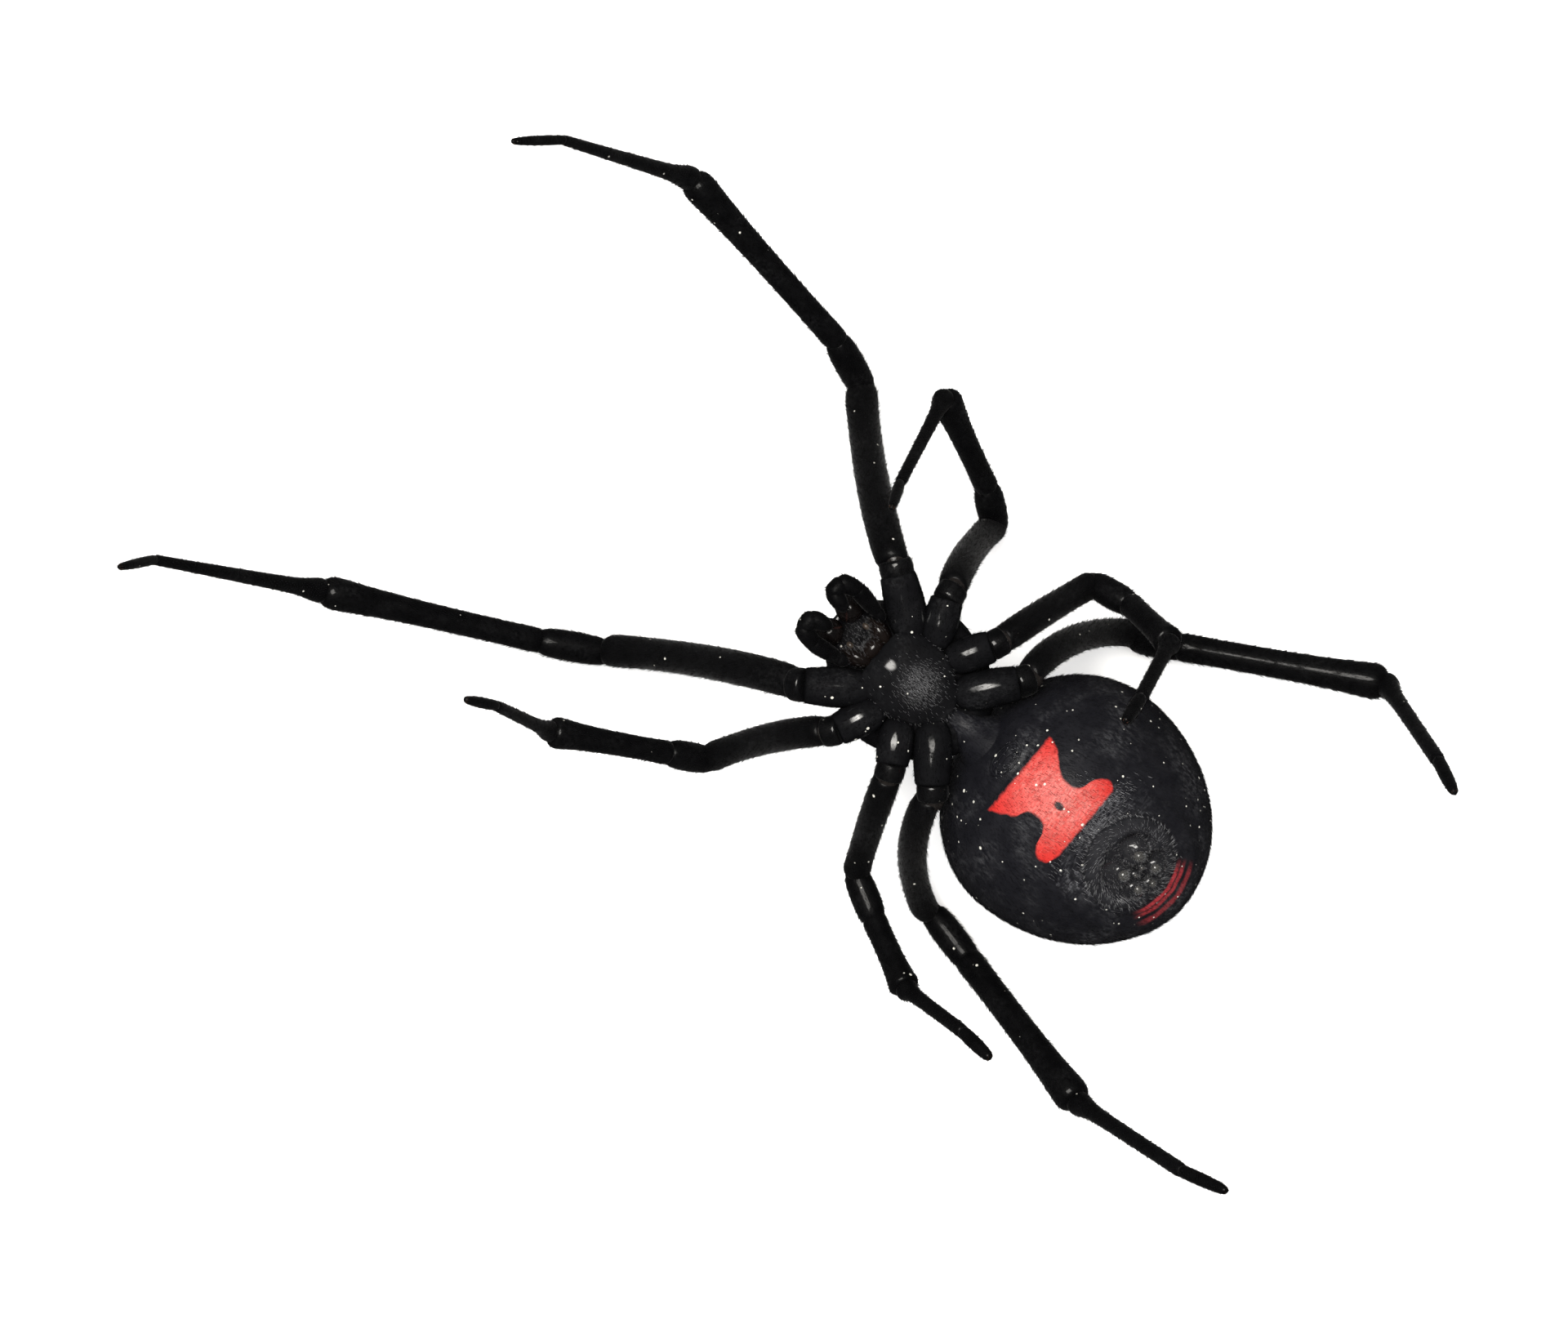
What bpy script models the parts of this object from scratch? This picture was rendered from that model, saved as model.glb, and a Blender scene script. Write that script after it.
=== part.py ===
# A female black widow spider, life size, belly up with its legs held as they are in its web.
# It lies on its back: the belly faces +Z, the head -Y, and the animal's left side is at -X.
# Sizes are in millimetres, and become metres when a mesh is finished.
import bpy
import bmesh
from math import cos, pi, radians, sin, sqrt
from mathutils import Matrix, Vector
from mathutils.bvhtree import BVHTree

MM = 0.001
GAP = 0.3
SIDES = 12
LEFT = -1
RIGHT = 1
SIDE_NAMES = {LEFT: "left", RIGHT: "right"}
UP = Vector((0, 0, 1))

# The eight-legged front of the body, with the middle of the breastplate at X = Y = 0
CARAPACE_HALF_WIDTH = 2.12
CARAPACE_HALF_LENGTH = 2.2
CARAPACE_MIDDLE_Y = -0.5
CARAPACE_EDGE_Z = 4.45
CARAPACE_DEPTH = 1.3
CARAPACE_RIM = 0.12
# Blunt ends, as the power of the outline's curve; a narrower head; and a back that slopes to the tail
CARAPACE_BLUNTNESS = 2.5
HEAD_NARROWING = 0.45
BACK_SLOPE = 0.35
STERNUM_HALF_WIDTH = 1.0
STERNUM_HALF_LENGTH = 1.22
STERNUM_TAPER = 0.4
# The breastplate's heights, and its share of the full outline at each
STERNUM_LEVELS = ((4.2, 1.0), (5.6, 1.0), (5.78, 0.92), (5.87, 0.72), (5.92, 0.4))
MOUTH_LOBES = (
    ((0.0, -1.36, 5.42), (0.30, 0.34, 0.42)),
    ((-0.42, -1.42, 5.1), (0.27, 0.36, 0.76)),
    ((0.42, -1.42, 5.1), (0.27, 0.36, 0.76)),
)
# Eyes as distance from the midline, height, and radius; each is made on both sides
EYES = ((0.17, 4.02, 0.11), (0.50, 3.98, 0.10), (0.19, 3.68, 0.10), (0.55, 3.72, 0.10))

# Jaws and feelers, as points and radii of the right one
JAW_PATH = (
    ((0.46, -2.38, 4.86), 0.27),
    ((0.45, -2.42, 5.04), 0.31),
    ((0.44, -2.43, 5.26), 0.31),
    ((0.41, -2.40, 5.44), 0.26),
    ((0.38, -2.35, 5.54), 0.17),
)
FANG_PATH = (
    ((0.42, -2.38, 5.38), 0.13),
    ((0.34, -2.22, 5.54), 0.11),
    ((0.24, -2.12, 5.58), 0.07),
    ((0.17, -2.08, 5.54), 0.03),
)
FEELER_PATH = (
    ((0.82, -1.98, 5.66), 0.20),
    ((0.90, -2.24, 5.94), 0.24),
    ((0.93, -2.60, 6.14), 0.25),
    ((0.90, -2.98, 6.26), 0.25),
    ((0.80, -3.20, 6.31), 0.23),
    ((0.56, -3.31, 6.34), 0.23),
    ((0.38, -3.10, 6.33), 0.22),
    ((0.34, -2.82, 6.31), 0.20),
    ((0.30, -2.60, 6.28), 0.12),
)

# The abdomen, and the stalk that carries it
ABDOMEN_CENTRE = Vector((-0.17, 5.30, 3.48))
ABDOMEN_HALF_WIDTH = 3.6
ABDOMEN_HALF_HEIGHT = 3.6
ABDOMEN_TAIL_LENGTH = 4.3
ABDOMEN_FRONT_LENGTH = 3.2
FRONT_BLUNTNESS = 2.0
TAIL_NARROWING = 0.04
ABDOMEN_SLICES = 40
ABDOMEN_RINGS = 26
# The low swelling of the genital plate on the belly, with its half width and half length
GENITAL_Y = 3.4
GENITAL_SIZE = (0.9, 0.5)
GENITAL_RISE = 0.10
# Place, height and radius of the stalk as it widens into the abdomen
STALK = (
    (1.62, 5.08, 0.27),
    (1.95, 5.02, 0.40),
    (2.25, 4.90, 0.66),
    (2.60, 4.82, 0.90),
    (3.10, 4.78, 1.10),
    (3.60, 4.70, 1.10),
)

# The spinning organ sits on a flat on the abdomen, and its cones stand round a low collar
SPINNERET_Y = 7.65
SPINNERET_FLAT_DEPTH = 0.25
# Heights and radii of the collar, and the cones' root depth and sideways lean
COLLAR_LEVELS = ((0.0, 1.15), (0.12, 1.22), (0.34, 1.0))
CONE_ROOT = 0.15
CONE_LEAN = 0.3
# Each cone: sideways and tailward place, root and tip radius, height above the collar
SPINNERETS = (
    (0.34, -0.42, 0.29, 0.15, 0.34),
    (0.13, 0.00, 0.12, 0.07, 0.22),
    (0.38, 0.28, 0.25, 0.12, 0.32),
    (0.00, 0.62, 0.22, 0.10, 0.22),
)

# Leg segments from the body outwards, as lengths of each pair, foremost pair first
SEGMENTS = ("trochanter", "femur", "patella", "tibia", "metatarsus", "tarsus")
LENGTHS = {
    1: (0.40, 7.15, 1.90, 6.30, 6.60, 2.00),
    2: (0.40, 4.80, 1.50, 3.60, 4.20, 1.50),
    3: (0.40, 3.80, 1.35, 2.40, 3.00, 1.30),
    4: (0.40, 5.85, 1.60, 5.70, 5.60, 1.70),
}
# Where each pair's coxa leaves the breastplate and where it ends, for the right side
COXAE = {
    1: ((1.15, -1.05, 5.35), (1.95, -2.13, 5.50)),
    2: ((1.38, -0.28, 5.35), (2.30, -0.68, 5.45)),
    3: ((1.30, 0.58, 5.35), (2.09, 1.05, 5.45)),
    4: ((0.80, 1.42, 5.35), (1.80, 2.24, 5.35)),
}
# Thickest radius of the coxa, femur and patella, and the tibia's radius near each end
COXA_RADIUS = {1: 0.48, 2: 0.45, 3: 0.44, 4: 0.46}
FEMUR_RADIUS = {1: 0.48, 2: 0.43, 3: 0.41, 4: 0.41}
PATELLA_RADIUS = {1: 0.41, 2: 0.40, 3: 0.40, 4: 0.42}
TIBIA_RADII = {1: (0.33, 0.43), 2: (0.31, 0.41), 3: (0.32, 0.40), 4: (0.38, 0.48)}
FOOT_RADIUS = 0.25
# Past a cut joint a segment runs on this far, and narrows to this share, so that the knee is round
KNEE_RUN_ON = 0.35
KNEE_NARROWING = 0.6
# Bow of each pair's femur, towards the head
FEMUR_BOW = {1: 0.16, 2: 0.15, 3: 0.04, 4: 0.52}

# The pose: each segment's heading, outwards from straight ahead, and its pitch, up from level
POSE = {
    (1, LEFT): ((37.5, 8), (40.5, -47.2), (19.5, 40), (7.5, 22.5), (-27.5, 58.5), (-45.5, 50)),
    (2, LEFT): ((82, -20), (85.5, -64.5), (36, 41.5), (23.5, 42.5), (-102.5, 50), (-111, 61)),
    (3, LEFT): ((111.5, -10), (108.5, -40), (170.5, 34), (186, 53), (260.5, 55), (266, 53.5)),
    (4, LEFT): ((119, -15), (120, -57.4), (151, 40), (150, 0), (202, 65), (208.5, 59)),
    (1, RIGHT): ((33.5, -35), (30.5, -43.5), (30, 12), (27, 18), (29.5, 49), (55, 65.5)),
    (2, RIGHT): ((51, -20), (54, -48), (29.5, 41.5), (29.5, 26.5), (12, 68.5), (28, 59)),
    (3, RIGHT): ((113, -10), (112.5, -44), (151.5, 7), (154.5, 33.5), (184.5, 51.5), (176.5, 42.5)),
    (4, RIGHT): ((131, -15), (131.5, -56.9), (167.5, 12), (167.5, 33.5), (188.5, 56), (197.5, 45)),
}

CUTICLE = ("black_cuticle", (0.012, 0.012, 0.015), 0.22)
LEG_CUTICLE = ("leg_cuticle", (0.010, 0.009, 0.010), 0.28)
JAW_CUTICLE = ("jaw_cuticle", (0.035, 0.018, 0.010), 0.25)
SPINNERET_SKIN = ("spinneret_skin", (0.06, 0.06, 0.06), 0.45)
HOURGLASS_RED = ("hourglass_red", (0.72, 0.035, 0.02), 0.35)

# The red hourglass as distances behind the breastplate's middle, headmost first, and half widths
HOURGLASS = (
    (3.78, 1.25),
    (4.15, 1.12),
    (4.45, 0.92),
    (4.75, 0.62),
    (5.15, 0.62),
    (5.40, 1.12),
    (5.70, 1.40),
    (5.98, 1.25),
)


def clear_scene():
    """Empties the file of its starting objects."""
    for thing in list(bpy.data.objects):
        bpy.data.objects.remove(thing)


def collection(name):
    """Makes a collection in the scene."""
    group = bpy.data.collections.new(name)
    bpy.context.scene.collection.children.link(group)
    return group


def material(name, colour, roughness):
    """Makes a plain glossy surface, once for each name."""
    if name in bpy.data.materials:
        return bpy.data.materials[name]
    surface = bpy.data.materials.new(name)
    surface.use_nodes = True
    shader = surface.node_tree.nodes["Principled BSDF"]
    shader.inputs["Base Color"].default_value = (*colour, 1)
    shader.inputs["Roughness"].default_value = roughness
    shader.inputs["Metallic"].default_value = 0.0
    return surface


def mirrored(point, side):
    """Takes a right-hand point to either side of the body."""
    return Vector((side * point[0], point[1], point[2]))


def direction(heading, pitch, side):
    """Gives the unit vector for a heading and a pitch in degrees."""
    level = cos(radians(pitch))
    outwards = side * sin(radians(heading)) * level
    return Vector((outwards, -cos(radians(heading)) * level, sin(radians(pitch))))


def keep_above_floor(bm):
    """Cuts a small flat where a shape would reach under the floor."""
    if min(vert.co.z for vert in bm.verts) >= 0:
        return
    cut_flat(bm, Vector((0, 0, 0)), -UP)


def cut_flat(bm, point, normal):
    """Cuts away what lies beyond a plane and closes the cut."""
    everything = bm.verts[:] + bm.edges[:] + bm.faces[:]
    bmesh.ops.bisect_plane(bm, geom=everything, plane_co=point, plane_no=normal, clear_outer=True)
    rim = [edge for edge in bm.edges if edge.is_boundary]
    bmesh.ops.holes_fill(bm, edges=rim)


def finish(bm, name, group, surface):
    """Makes one object, in metres, with its faces turned out."""
    bmesh.ops.recalc_face_normals(bm, faces=bm.faces)
    bmesh.ops.scale(bm, vec=(MM, MM, MM), verts=bm.verts)
    mesh = bpy.data.meshes.new(name)
    bm.to_mesh(mesh)
    bm.free()
    mesh.shade_smooth()
    mesh.set_sharp_from_angle(angle=radians(50))
    mesh.materials.append(material(*surface))
    thing = bpy.data.objects.new(name, mesh)
    group.objects.link(thing)
    return thing


def ring_loft(bm, stations, sides=SIDES):
    """Joins circles of given centres and radii into one closed tapering tube."""
    centres = [Vector(centre) for centre, radius in stations]
    steps = [(after - before).normalized() for before, after in zip(centres, centres[1:])]
    normals = [steps[0]] + [(a + b).normalized() for a, b in zip(steps, steps[1:])] + [steps[-1]]
    across = normals[0].orthogonal().normalized()
    rings = []
    for number, (centre, (_, radius)) in enumerate(zip(centres, stations)):
        if number:
            across = normals[number - 1].rotation_difference(normals[number]) @ across
        other = normals[number].cross(across)
        turns = [2 * pi * k / sides for k in range(sides)]
        ring = [bm.verts.new(centre + radius * (cos(a) * across + sin(a) * other)) for a in turns]
        rings.append(ring)
    for lower, upper in zip(rings, rings[1:]):
        for k in range(sides):
            after = (k + 1) % sides
            bm.faces.new((lower[k], lower[after], upper[after], upper[k]))
    bm.faces.new(rings[0])
    bm.faces.new(rings[-1])


def ball(bm, centre, half_sizes, slices=16, rings=8):
    """Adds a sphere stretched to its half sizes, with its poles towards head and tail."""
    made = bmesh.ops.create_uvsphere(bm, u_segments=slices, v_segments=rings, radius=1)
    turn = Matrix.Rotation(pi / 2, 4, "X")
    place = Matrix.Translation(centre) @ Matrix.Diagonal((*half_sizes, 1)) @ turn
    bmesh.ops.transform(bm, matrix=place, verts=made["verts"])


def largest_surface(bm):
    """Drops every closed surface but the largest."""
    left = set(bm.faces)
    shells = []
    while left:
        shell = set()
        front = [left.pop()]
        while front:
            face = front.pop()
            shell.add(face)
            for edge in face.edges:
                for neighbour in edge.link_faces:
                    if neighbour in left:
                        left.remove(neighbour)
                        front.append(neighbour)
        shells.append(shell)
    biggest = max(shells, key=lambda shell: sum(face.calc_area() for face in shell))
    scraps = [face for face in bm.faces if face not in biggest]
    bmesh.ops.delete(bm, geom=scraps, context="FACES")


def fuse(pieces, name, group, surface):
    """Unites closed pieces, each sunk into the first, as one closed body."""
    workshop = collection(name + "_pieces")
    things = [finish(piece, name + "_piece", workshop, surface) for piece in pieces]
    base = things[0]
    workshop.objects.unlink(base)
    group.objects.link(base)
    union = base.modifiers.new("union", "BOOLEAN")
    union.operation = "UNION"
    union.operand_type = "COLLECTION"
    union.collection = workshop
    union.solver = "EXACT"
    solid = bpy.data.meshes.new_from_object(base.evaluated_get(bpy.context.evaluated_depsgraph_get()))
    for thing in things:
        bpy.data.objects.remove(thing)
    bpy.data.collections.remove(workshop)
    bm = bmesh.new()
    bm.from_mesh(solid)
    bpy.data.meshes.remove(solid)
    largest_surface(bm)
    bmesh.ops.scale(bm, vec=(1 / MM, 1 / MM, 1 / MM), verts=bm.verts)
    return finish(bm, name, group, surface)


def carapace():
    """Shapes the shield over the back: pear-shaped, narrow and blunt at the head."""
    bm = bmesh.new()
    ball(bm, (0, 0, 0), (1, 1, 1), 28, 18)
    for vert in bm.verts:
        along = vert.co.y
        round_section = sqrt(max(1 - along * along, 1e-9))
        blunt_section = max(1 - abs(along) ** CARAPACE_BLUNTNESS, 0) ** (1 / CARAPACE_BLUNTNESS)
        swell = blunt_section / round_section
        narrow = 1 - HEAD_NARROWING * min(max((0.2 - along) / 1.2, 0), 1)
        slope = 1 - BACK_SLOPE * max(along, 0) ** 2
        depth = CARAPACE_DEPTH * slope if vert.co.z < 0 else CARAPACE_RIM
        vert.co.x *= swell * narrow * CARAPACE_HALF_WIDTH
        vert.co.y = CARAPACE_MIDDLE_Y + along * CARAPACE_HALF_LENGTH
        vert.co.z = CARAPACE_EDGE_Z + vert.co.z * swell * depth
    return bm


def sternum():
    """Shapes the heart-shaped breastplate and the block of flesh behind it."""
    bm = bmesh.new()
    sides = 2 * SIDES
    rings = []
    for height, share in STERNUM_LEVELS:
        ring = []
        for k in range(sides):
            turn = 2 * pi * k / sides
            along = -cos(turn)
            taper = 1 - STERNUM_TAPER * max(along, 0) ** 2
            x = sin(turn) * STERNUM_HALF_WIDTH * taper * share
            ring.append(bm.verts.new((x, along * STERNUM_HALF_LENGTH * share, height)))
        rings.append(ring)
    for lower, upper in zip(rings, rings[1:]):
        for k in range(sides):
            after = (k + 1) % sides
            bm.faces.new((lower[k], lower[after], upper[after], upper[k]))
    bm.faces.new(rings[0])
    bm.faces.new(rings[-1])
    return bm


def cephalothorax(group):
    """Builds the front of the body with its breastplate, mouth lobes and eight eyes."""
    shield = carapace()
    surface = BVHTree.FromBMesh(shield)
    pieces = [shield, sternum()]
    for centre, half_sizes in MOUTH_LOBES:
        lobe = bmesh.new()
        ball(lobe, centre, half_sizes)
        pieces.append(lobe)
    for side in (LEFT, RIGHT):
        for out, height, radius in EYES:
            before_face = Vector((side * out, CARAPACE_MIDDLE_Y - 2 * CARAPACE_HALF_LENGTH, height))
            place = surface.ray_cast(before_face, Vector((0, 1, 0)))[0]
            eye = bmesh.new()
            ball(eye, place, (radius, radius, radius), 10, 6)
            pieces.append(eye)
    fuse(pieces, "cephalothorax", group, CUTICLE)


def abdomen_section(along):
    """Gives the abdomen's girth, as a share of its greatest, at a place from head -1 to tail 1."""
    if along < 0:
        return max(1 - abs(along) ** FRONT_BLUNTNESS, 0) ** (1 / FRONT_BLUNTNESS)
    return sqrt(max(1 - along * along, 0)) * (1 - TAIL_NARROWING * along ** 3)


def abdomen_height(x, y):
    """Gives the belly's height over a point of the floor plan."""
    back = y - ABDOMEN_CENTRE.y
    girth = abdomen_section(back / (ABDOMEN_TAIL_LENGTH if back > 0 else ABDOMEN_FRONT_LENGTH))
    across = (x - ABDOMEN_CENTRE.x) / ABDOMEN_HALF_WIDTH
    return ABDOMEN_CENTRE.z + ABDOMEN_HALF_HEIGHT * sqrt(max(girth * girth - across * across, 0))


def spinneret_seat():
    """Gives the middle of the flat that carries the spinnerets, and the way it faces."""
    step = 0.05
    here = Vector((0, SPINNERET_Y, abdomen_height(0, SPINNERET_Y)))
    slope_x = (abdomen_height(step, SPINNERET_Y) - abdomen_height(-step, SPINNERET_Y)) / (2 * step)
    slope_y = (abdomen_height(0, SPINNERET_Y + step) - abdomen_height(0, SPINNERET_Y - step)) / (2 * step)
    facing = Vector((-slope_x, -slope_y, 1)).normalized()
    return here - facing * SPINNERET_FLAT_DEPTH, facing


def abdomen(group):
    """Builds the globe of the abdomen with its stalk and its flats."""
    globe = bmesh.new()
    ball(globe, (0, 0, 0), (1, 1, 1), ABDOMEN_SLICES, ABDOMEN_RINGS)
    for vert in globe.verts:
        along = vert.co.y
        swell = abdomen_section(along) / sqrt(max(1 - along * along, 1e-9))
        vert.co.x *= ABDOMEN_HALF_WIDTH * swell
        vert.co.z *= ABDOMEN_HALF_HEIGHT * swell
        vert.co.y *= ABDOMEN_TAIL_LENGTH if along > 0 else ABDOMEN_FRONT_LENGTH
        vert.co += ABDOMEN_CENTRE
        if vert.co.z > ABDOMEN_CENTRE.z:
            half_width, half_length = GENITAL_SIZE
            off = Vector((vert.co.x / half_width, (vert.co.y - GENITAL_Y) / half_length)).length
            vert.co.z += GENITAL_RISE * max(1 - off * off, 0)
    seat, facing = spinneret_seat()
    cut_flat(globe, seat, facing)
    keep_above_floor(globe)
    stalk = bmesh.new()
    ring_loft(stalk, [((0, y, z), radius) for y, z, radius in STALK], sides=2 * SIDES)
    body = fuse([globe, stalk], "abdomen", group, CUTICLE)
    paint_hourglass(body)


def paint_hourglass(body):
    """Gives the red finish to the faces of the belly inside the hourglass."""
    body.data.materials.append(material(*HOURGLASS_RED))
    belly = [face for face in body.data.polygons if face.normal.z > 0.5]
    for face in belly:
        centre = face.center / MM
        for (start, wide), (end, next_wide) in zip(HOURGLASS, HOURGLASS[1:]):
            if start <= centre.y < end:
                share = (centre.y - start) / (end - start)
                if abs(centre.x) < wide + share * (next_wide - wide):
                    face.material_index = 1


def spinnerets(group):
    """Builds the collar with its three pairs of spinnerets and the tubercle behind them."""
    seat, facing = spinneret_seat()
    root = seat + facing * GAP
    tailward = Vector((1, 0, 0)).cross(facing) * -1
    collar = bmesh.new()
    ring_loft(collar, [(root + facing * rise, radius) for rise, radius in COLLAR_LEVELS], sides=2 * SIDES)
    collar_height = COLLAR_LEVELS[-1][0]
    pieces = [collar]
    for out, back, thick, thin, height in SPINNERETS:
        for side in (LEFT, RIGHT) if out else (RIGHT,):
            foot = root + Vector((side * out, 0, 0)) + tailward * back
            lean = (facing - Vector((side * out, 0, 0)) * CONE_LEAN).normalized()
            top = collar_height + height
            cone = bmesh.new()
            levels = ((CONE_ROOT, thick), (top * 0.7, thick * 0.9), (top, thin))
            ring_loft(cone, [(foot + lean * rise, radius) for rise, radius in levels], sides=10)
            pieces.append(cone)
    fuse(pieces, "spinnerets", group, SPINNERET_SKIN)


def jaws_and_feelers(group):
    """Builds each side's jaw with its fang, and its feeler folded in front of it."""
    for side in (LEFT, RIGHT):
        jaw = bmesh.new()
        ring_loft(jaw, [(mirrored(point, side), radius) for point, radius in JAW_PATH])
        fang = bmesh.new()
        ring_loft(fang, [(mirrored(point, side), radius) for point, radius in FANG_PATH], sides=8)
        fuse([jaw, fang], "chelicera_" + SIDE_NAMES[side], group, JAW_CUTICLE)
        feeler = bmesh.new()
        ring_loft(feeler, [(mirrored(point, side), radius) for point, radius in FEELER_PATH])
        finish(feeler, "palp_" + SIDE_NAMES[side], group, LEG_CUTICLE)


def profiles(pair):
    """Gives each segment's radii at shares of its length."""
    coxa = COXA_RADIUS[pair]
    femur = FEMUR_RADIUS[pair]
    patella = PATELLA_RADIUS[pair]
    slim, stout = TIBIA_RADII[pair]
    mean = (slim + stout) / 2
    foot = FOOT_RADIUS
    return {
        "coxa": ((0, coxa * 0.6), (0.25, coxa * 0.82), (0.6, coxa), (0.85, coxa), (1, 0.42)),
        "trochanter": ((1, 0.39),),
        "femur": ((0.09, femur * 0.92), (0.35, femur), (0.7, femur * 0.97), (0.9, femur * 0.93), (1, 0.38)),
        "patella": ((0, 0.38), (0.35, patella), (0.7, patella), (1, slim)),
        "tibia": ((0.15, slim), (0.5, slim * 1.04), (0.78, mean), (0.93, stout), (1, stout * 0.86)),
        "metatarsus": ((0, foot * 1.1), (0.15, foot * 1.04), (0.6, foot), (1, foot)),
        "tarsus": ((0.45, foot), (0.85, foot * 0.8), (1, foot * 0.4)),
    }


def along_segment(start, end, profile, bow):
    """Gives the ring places of one segment, bowed sideways by a vector at its middle."""
    places = []
    for share, radius in profile:
        places.append((start.lerp(end, share) + bow * 4 * share * (1 - share), radius))
    return places


def leg(pair, side, group):
    """Builds one leg as three nodes that meet at the knee and at the metatarsus."""
    base, hip = (mirrored(point, side) for point in COXAE[pair])
    joints = [base, hip]
    for length, (heading, pitch) in zip(LENGTHS[pair], POSE[pair, side]):
        joints.append(joints[-1] + direction(heading, pitch, side) * length)
    names = ("coxa",) + SEGMENTS
    heading = radians(POSE[pair, side][1][0])
    headward = Vector((-side * cos(heading), -sin(heading), 0)) * FEMUR_BOW[pair]
    shape = profiles(pair)
    chain = []
    for number, name in enumerate(names):
        bow = headward if name == "femur" else Vector((0, 0, 0))
        chain.append(along_segment(joints[number], joints[number + 1], shape[name], bow))
    way = [(after - before).normalized() for before, after in zip(joints, joints[1:])]
    knee = (way[2] + way[3]).normalized()
    ankle = (way[4] + way[5]).normalized()
    half_gap = GAP / 2
    lengths = (
        ("coxa_femur", chain[0] + chain[1] + chain[2], None, (joints[3], knee, way[2])),
        ("patella_tibia", chain[3] + chain[4], (joints[3], knee, way[3]), (joints[5], ankle, way[4])),
        ("metatarsus_tarsus", chain[5] + chain[6], (joints[5], ankle, way[5]), None),
    )
    for name, stations, start_cut, end_cut in lengths:
        if start_cut:
            joint, facing, into = start_cut
            stations = [(joint - into * KNEE_RUN_ON, stations[0][1] * KNEE_NARROWING)] + stations
        if end_cut:
            joint, facing, into = end_cut
            stations = stations + [(joint + into * KNEE_RUN_ON, stations[-1][1] * KNEE_NARROWING)]
        bm = bmesh.new()
        ring_loft(bm, stations)
        if start_cut:
            cut_flat(bm, start_cut[0] + start_cut[1] * half_gap, -start_cut[1])
        if end_cut:
            cut_flat(bm, end_cut[0] - end_cut[1] * half_gap, end_cut[1])
        keep_above_floor(bm)
        finish(bm, f"leg_{pair}_{SIDE_NAMES[side]}_{name}", group, LEG_CUTICLE)


def centre_on_floor(group):
    """Moves the meshes so that the origin is under the middle of the whole spider."""
    corners = [vert.co for thing in group.objects for vert in thing.data.vertices]
    middle = [(min(co[k] for co in corners) + max(co[k] for co in corners)) / 2 for k in (0, 1)]
    shift = Matrix.Translation((-middle[0], -middle[1], 0))
    for thing in group.objects:
        thing.data.transform(shift)


def main():
    clear_scene()
    spider = collection("black_widow_spider")
    cephalothorax(spider)
    abdomen(spider)
    spinnerets(spider)
    jaws_and_feelers(spider)
    for pair in LENGTHS:
        for side in (LEFT, RIGHT):
            leg(pair, side, spider)
    centre_on_floor(spider)


main()
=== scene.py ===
# %% [markdown]
# # A black widow spider, belly up
# The real animal is an adult female black widow, about 12.6 mm long in the body and 33 mm from
# the foremost foot to the hindmost. She hangs belly up in her web, which is left out, so the
# model lies on its back in the same pose. This lesson dresses the plain solids of the frame: it
# makes one smooth skin for each part of the body, sets the eyes, fangs and claws in place, grows
# the bristles, and gives every surface a finish made of shader nodes.

# %% Load the frame
import bpy
import bmesh
from math import cos, pi, radians, sin, sqrt
from mathutils import Matrix, Vector


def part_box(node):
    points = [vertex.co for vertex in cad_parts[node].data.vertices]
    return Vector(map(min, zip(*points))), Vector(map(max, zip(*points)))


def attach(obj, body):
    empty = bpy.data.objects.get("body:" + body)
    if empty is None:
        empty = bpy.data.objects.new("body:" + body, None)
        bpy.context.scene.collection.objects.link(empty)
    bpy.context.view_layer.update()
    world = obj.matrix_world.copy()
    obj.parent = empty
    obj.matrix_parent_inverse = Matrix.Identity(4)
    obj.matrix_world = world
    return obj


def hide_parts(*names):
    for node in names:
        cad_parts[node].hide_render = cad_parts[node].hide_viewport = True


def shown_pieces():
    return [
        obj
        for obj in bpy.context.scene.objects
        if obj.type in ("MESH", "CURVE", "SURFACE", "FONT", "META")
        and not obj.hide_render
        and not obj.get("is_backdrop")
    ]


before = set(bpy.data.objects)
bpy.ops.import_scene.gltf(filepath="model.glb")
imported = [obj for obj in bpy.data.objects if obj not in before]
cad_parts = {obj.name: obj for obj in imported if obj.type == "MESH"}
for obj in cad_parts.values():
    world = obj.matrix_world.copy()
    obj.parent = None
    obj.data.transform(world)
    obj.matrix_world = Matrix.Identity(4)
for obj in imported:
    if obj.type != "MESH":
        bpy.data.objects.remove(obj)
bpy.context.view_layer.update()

# %% [markdown]
# ## Working in millimetres
# A spider is small, and Blender's tools are tuned for bigger things, so every piece is modelled
# in millimetres and brought down to metres when it is finished. The working frame has its
# origin under the middle of the breastplate: -Y is towards the head, +X is the animal's right
# and +Z is the way the belly faces. The abdomen's solid says where that frame lies in the
# scene: its widest points are level with the abdomen's middle, and its rear end is the tail.

# %% The working frame
MM = 0.001
LEFT, RIGHT = -1, 1
SIDE_NAMES = {LEFT: "left", RIGHT: "right"}

ABDOMEN_CENTRE = Vector((-0.17, 5.30, 3.48))
ABDOMEN_HALF_WIDTH = 3.6
ABDOMEN_HALF_HEIGHT = 3.6
ABDOMEN_TAIL_LENGTH = 4.3
ABDOMEN_FRONT_LENGTH = 3.2
FRONT_BLUNTNESS = 2.0
TAIL_NARROWING = 0.04

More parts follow.
